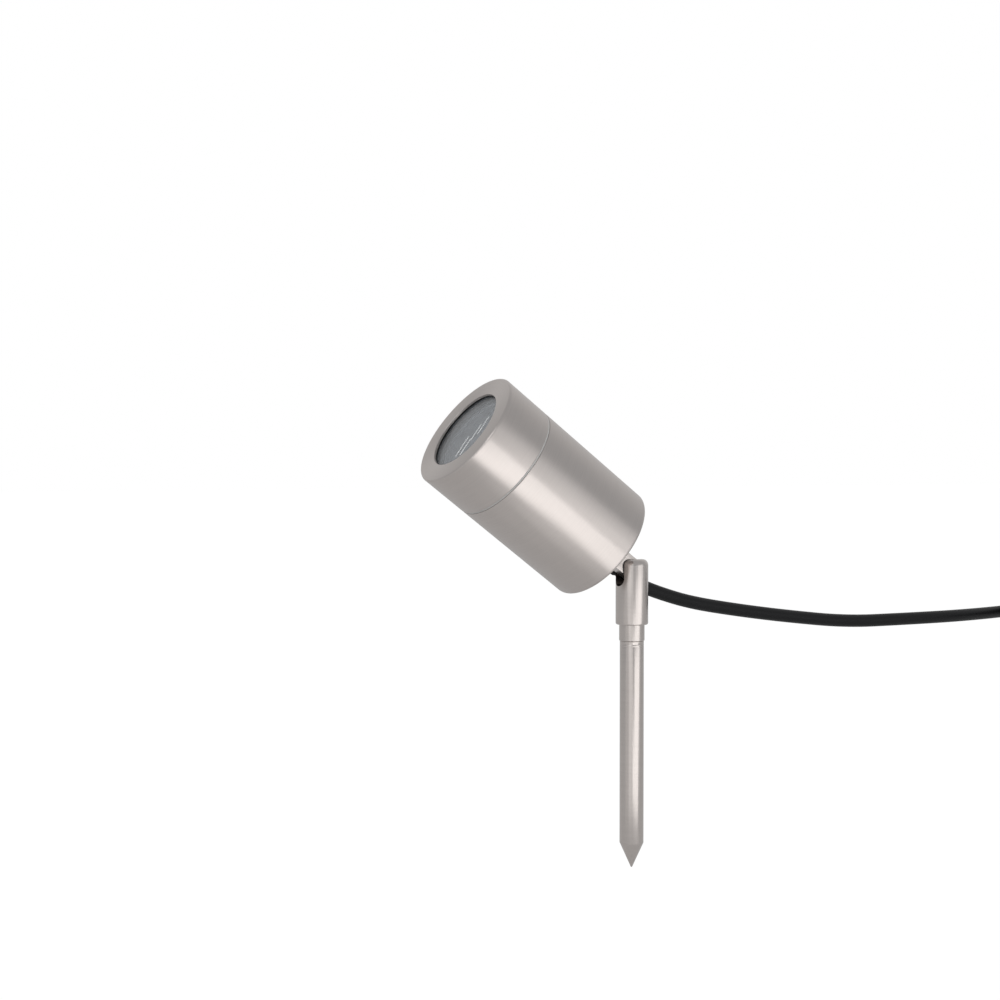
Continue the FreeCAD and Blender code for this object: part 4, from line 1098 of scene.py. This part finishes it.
def glow(tree, strength):
    return add_node(tree, "ShaderNodeEmission",
                    [("Color", WHITE), ("Strength", strength)]).outputs[0]


def make_floor():
    """Pale floor under the spike's point, white to the camera, that keeps the shadow."""
    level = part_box("spike")[0][2] - FLOOR_GAP
    material, tree, shader = new_material("pale_floor")
    feed(tree, shader, [("Base Color", (0.62, 0.62, 0.62, 1)), ("Roughness", 0.9),
                        ("Specular IOR Level", 0.0)])
    share = math_node(tree, "MULTIPLY", seen_white(tree, FLOOR_IN_METAL), WHITE_SHARE)
    mix = add_node(tree, "ShaderNodeMixShader",
                   [(0, share), (1, shader.outputs["BSDF"]), (2, glow(tree, GLOW))])
    tree.links.new(mix.outputs[0], tree.nodes["Material Output"].inputs["Surface"])
    add_sheet("floor", [(x * FLOOR_HALF, y * FLOOR_HALF, level)
                        for x, y in ((-1, -1), (1, -1), (1, 1), (-1, 1))], material)
    return level


def make_world():
    """White to the camera and through glass.

    To the object it is a studio: white behind the object as the camera sees it, and a
    grey room elsewhere, with a smooth change between them.
    """
    world = bpy.data.worlds.new("studio")
    bpy.context.scene.world = world
    world.use_nodes = True
    tree = world.node_tree
    tree.nodes.clear()
    coordinates = add_node(tree, "ShaderNodeTexCoord")
    facing = add_node(tree, "ShaderNodeVectorMath",
                      [(0, coordinates.outputs["Generated"]), (1, BACKDROP_WAY)],
                      operation="DOT_PRODUCT")
    amount = add_node(tree, "ShaderNodeMapRange",
                      [("Value", facing.outputs["Value"]), ("From Min", BACKDROP_FADE[0]),
                       ("From Max", BACKDROP_FADE[1])], interpolation_type="SMOOTHSTEP")
    shade = mix_colours(tree, amount.outputs["Result"], ROOM_GREY, BACKDROP_WHITE)
    room, white = (add_node(tree, "ShaderNodeBackground",
                            [("Color", colour), ("Strength", 1.0)])
                   for colour in (shade, WHITE))
    mix = add_node(tree, "ShaderNodeMixShader",
                   [(0, seen_white(tree, 0.0)), (1, room.outputs[0]), (2, white.outputs[0])])
    output = add_node(tree, "ShaderNodeOutputWorld")
    tree.links.new(mix.outputs[0], output.inputs["Surface"])


def make_light(name, place, size, radiance, level=False):
    """A soft rectangular light, aimed level at the post's axis or at the middle.

    A surface of area A that shines with radiance L gives pi * L * A watts.
    """
    light = bpy.data.lights.new(name, "AREA")
    light.shape = "RECTANGLE"
    light.size, light.size_y = size
    light.energy = math.pi * radiance * size[0] * size[1]
    holder = add_object(name, light)
    holder.location = place
    target = (0, 0, place[2]) if level else MIDDLE
    aim = Vector(target) - Vector(place)
    holder.rotation_euler = aim.to_track_quat("-Z", "Y").to_euler()
    holder.visible_camera = False


def polar(azimuth, distance, height):
    """A place at an azimuth in degrees and a distance from the post's axis."""
    bearing = math.radians(azimuth)
    return (distance * math.cos(bearing), distance * math.sin(bearing), height)


def make_card(name, corners, radiance):
    """A flat glowing card that only shows in metal and other gloss."""
    material, tree, _ = new_material(name)
    tree.links.new(glow(tree, radiance), tree.nodes["Material Output"].inputs["Surface"])
    card = add_sheet(name, corners, material)
    for rays in ("camera", "diffuse", "transmission", "volume_scatter", "shadow"):
        setattr(card, "visible_" + rays, False)


def wedge_point(turn, reach, level):
    """A point of the floor on the plane through the head's axis at an angle round it.

    All such planes cut the floor in lines through the axis's own foot on the floor.
    """
    foot = PIVOT + BEAM * (level - PIVOT[2]) / BEAM[2]
    turn = math.radians(turn)
    outward = math.cos(turn) * HEAD_AXES[0] + math.sin(turn) * HEAD_AXES[1]
    along = outward - BEAM * outward[2] / BEAM[2]
    return tuple(foot + reach * along / np.linalg.norm(along))


def make_glint(side, low, high):
    """A strip of light that the front glass mirrors to the camera as a fine streak.

    The streak stands on the glass beside the head's axis, from a low to a high place.
    """
    front = PIVOT + BEAM * turned_size("glass")[1]
    corners = []
    for across, upward in ((side - GLINT_HALF, low), (side + GLINT_HALF, low),
                           (side + GLINT_HALF, high), (side - GLINT_HALF, high)):
        spot = front + HEAD_AXES[0] * across + HEAD_AXES[1] * upward
        ray = unit(spot - np.array(CAMERA_PLACE))
        mirrored = ray - 2 * ray.dot(BEAM) * BEAM
        corners.append(tuple(spot + GLINT_DISTANCE * mirrored))
    make_card("glint", corners, GLINT_RADIANCE)


def make_stage():
    make_camera()
    level = make_floor()
    make_world()
    make_card("bright_card", [wedge_point(turn, reach, level + MM)
                              for turn, reach in BRIGHT_CARD], BRIGHT_RADIANCE)
    for name, (first, last, radiance) in SPIKE_CARDS.items():
        make_card(name, [polar(azimuth, SPIKE_CARD_DISTANCE, height) for azimuth, height in (
            (first, level + 2 * MM), (last, level + 2 * MM), (last, 0.0), (first, 0.0))],
            radiance)
    make_light("right", polar(32, 1.0, 0.1), (0.75, 0.36), 0.58, level=True)
    make_light("low_right", polar(17, 0.5, -0.052), (0.42, 0.12), 0.9, level=True)
    make_light("left", polar(-45, 1.1, 0.25), (0.85, 0.7), 0.38)
    make_light("far_left", polar(-63, 1.3, 0.25), (1.15, 0.7), 0.22)
    for glint in GLINTS:
        make_glint(*(MM * place for place in glint))
    make_light("high_left", (0.75, -0.95, 0.9), (0.55, 0.55), 1.6)
    bpy.context.scene.view_settings.view_transform = "Standard"


# ---------------- operators and panel

class SPOTLIGHT_OT_materials(bpy.types.Operator):
    """Make every material and give each solid of the frame its own"""

    bl_idname = "spotlight.make_materials"
    bl_label = "Materials"

    def execute(self, context):
        make_materials()
        return {"FINISHED"}


class SPOTLIGHT_OT_head(bpy.types.Operator):
    """Turn the bezel and the housing with its threaded spigot"""

    bl_idname = "spotlight.make_head"
    bl_label = "Head shells"

    def execute(self, context):
        make_bezel()
        make_housing()
        return {"FINISHED"}


class SPOTLIGHT_OT_front(bpy.types.Operator):
    """Make the seals, the front glass and the face of the lamp"""

    bl_idname = "spotlight.make_front"
    bl_label = "Glass and seals"

    def execute(self, context):
        make_seals()
        make_glass()
        make_lens()
        return {"FINISHED"}


class SPOTLIGHT_OT_stand(bpy.types.Operator):
    """Turn the post and the spike, and mill the lug"""

    bl_idname = "spotlight.make_stand"
    bl_label = "Post, spike and lug"

    def execute(self, context):
        make_post()
        make_spike()
        make_lug()
        return {"FINISHED"}


class SPOTLIGHT_OT_gland(bpy.types.Operator):
    """Mould the gland and the bend relief of the cord"""

    bl_idname = "spotlight.make_gland"
    bl_label = "Gland"

    def execute(self, context):
        make_gland()
        return {"FINISHED"}


class SPOTLIGHT_OT_cord(bpy.types.Operator):
    """Lay the cord along its route and wind the rest into a coil"""

    bl_idname = "spotlight.make_cord"
    bl_label = "Cord"

    def execute(self, context):
        make_cord()
        return {"FINISHED"}


class SPOTLIGHT_OT_stage(bpy.types.Operator):
    """Set up the camera, the lights, the floor and the background"""

    bl_idname = "spotlight.make_stage"
    bl_label = "Stage"

    def execute(self, context):
        make_stage()
        return {"FINISHED"}


OPERATORS = (SPOTLIGHT_OT_materials, SPOTLIGHT_OT_cord, SPOTLIGHT_OT_head,
             SPOTLIGHT_OT_front, SPOTLIGHT_OT_stand, SPOTLIGHT_OT_gland,
             SPOTLIGHT_OT_stage)


class SPOTLIGHT_PT_panel(bpy.types.Panel):
    """Lists the steps that build the spotlight"""

    bl_label = "Garden spike spotlight"
    bl_space_type = "VIEW_3D"
    bl_region_type = "UI"
    bl_category = "Spotlight"

    def draw(self, context):
        for operator in OPERATORS:
            self.layout.operator(operator.bl_idname)


CLASSES = (SpotlightSizes, SpotlightFinishes) + OPERATORS + (SPOTLIGHT_PT_panel,)


def register():
    for entry in CLASSES:
        bpy.utils.register_class(entry)
    bpy.types.Scene.spotlight_sizes = PointerProperty(type=SpotlightSizes)
    bpy.types.Scene.spotlight_finishes = PointerProperty(type=SpotlightFinishes)


def unregister():
    del bpy.types.Scene.spotlight_finishes
    del bpy.types.Scene.spotlight_sizes
    for entry in reversed(CLASSES):
        bpy.utils.unregister_class(entry)


def main():
    """Register the classes and build the pieces in order."""
    register()
    for operator in OPERATORS:
        group, action = operator.bl_idname.split(".")
        getattr(getattr(bpy.ops, group), action)()


if __name__ == "__main__":
    main()
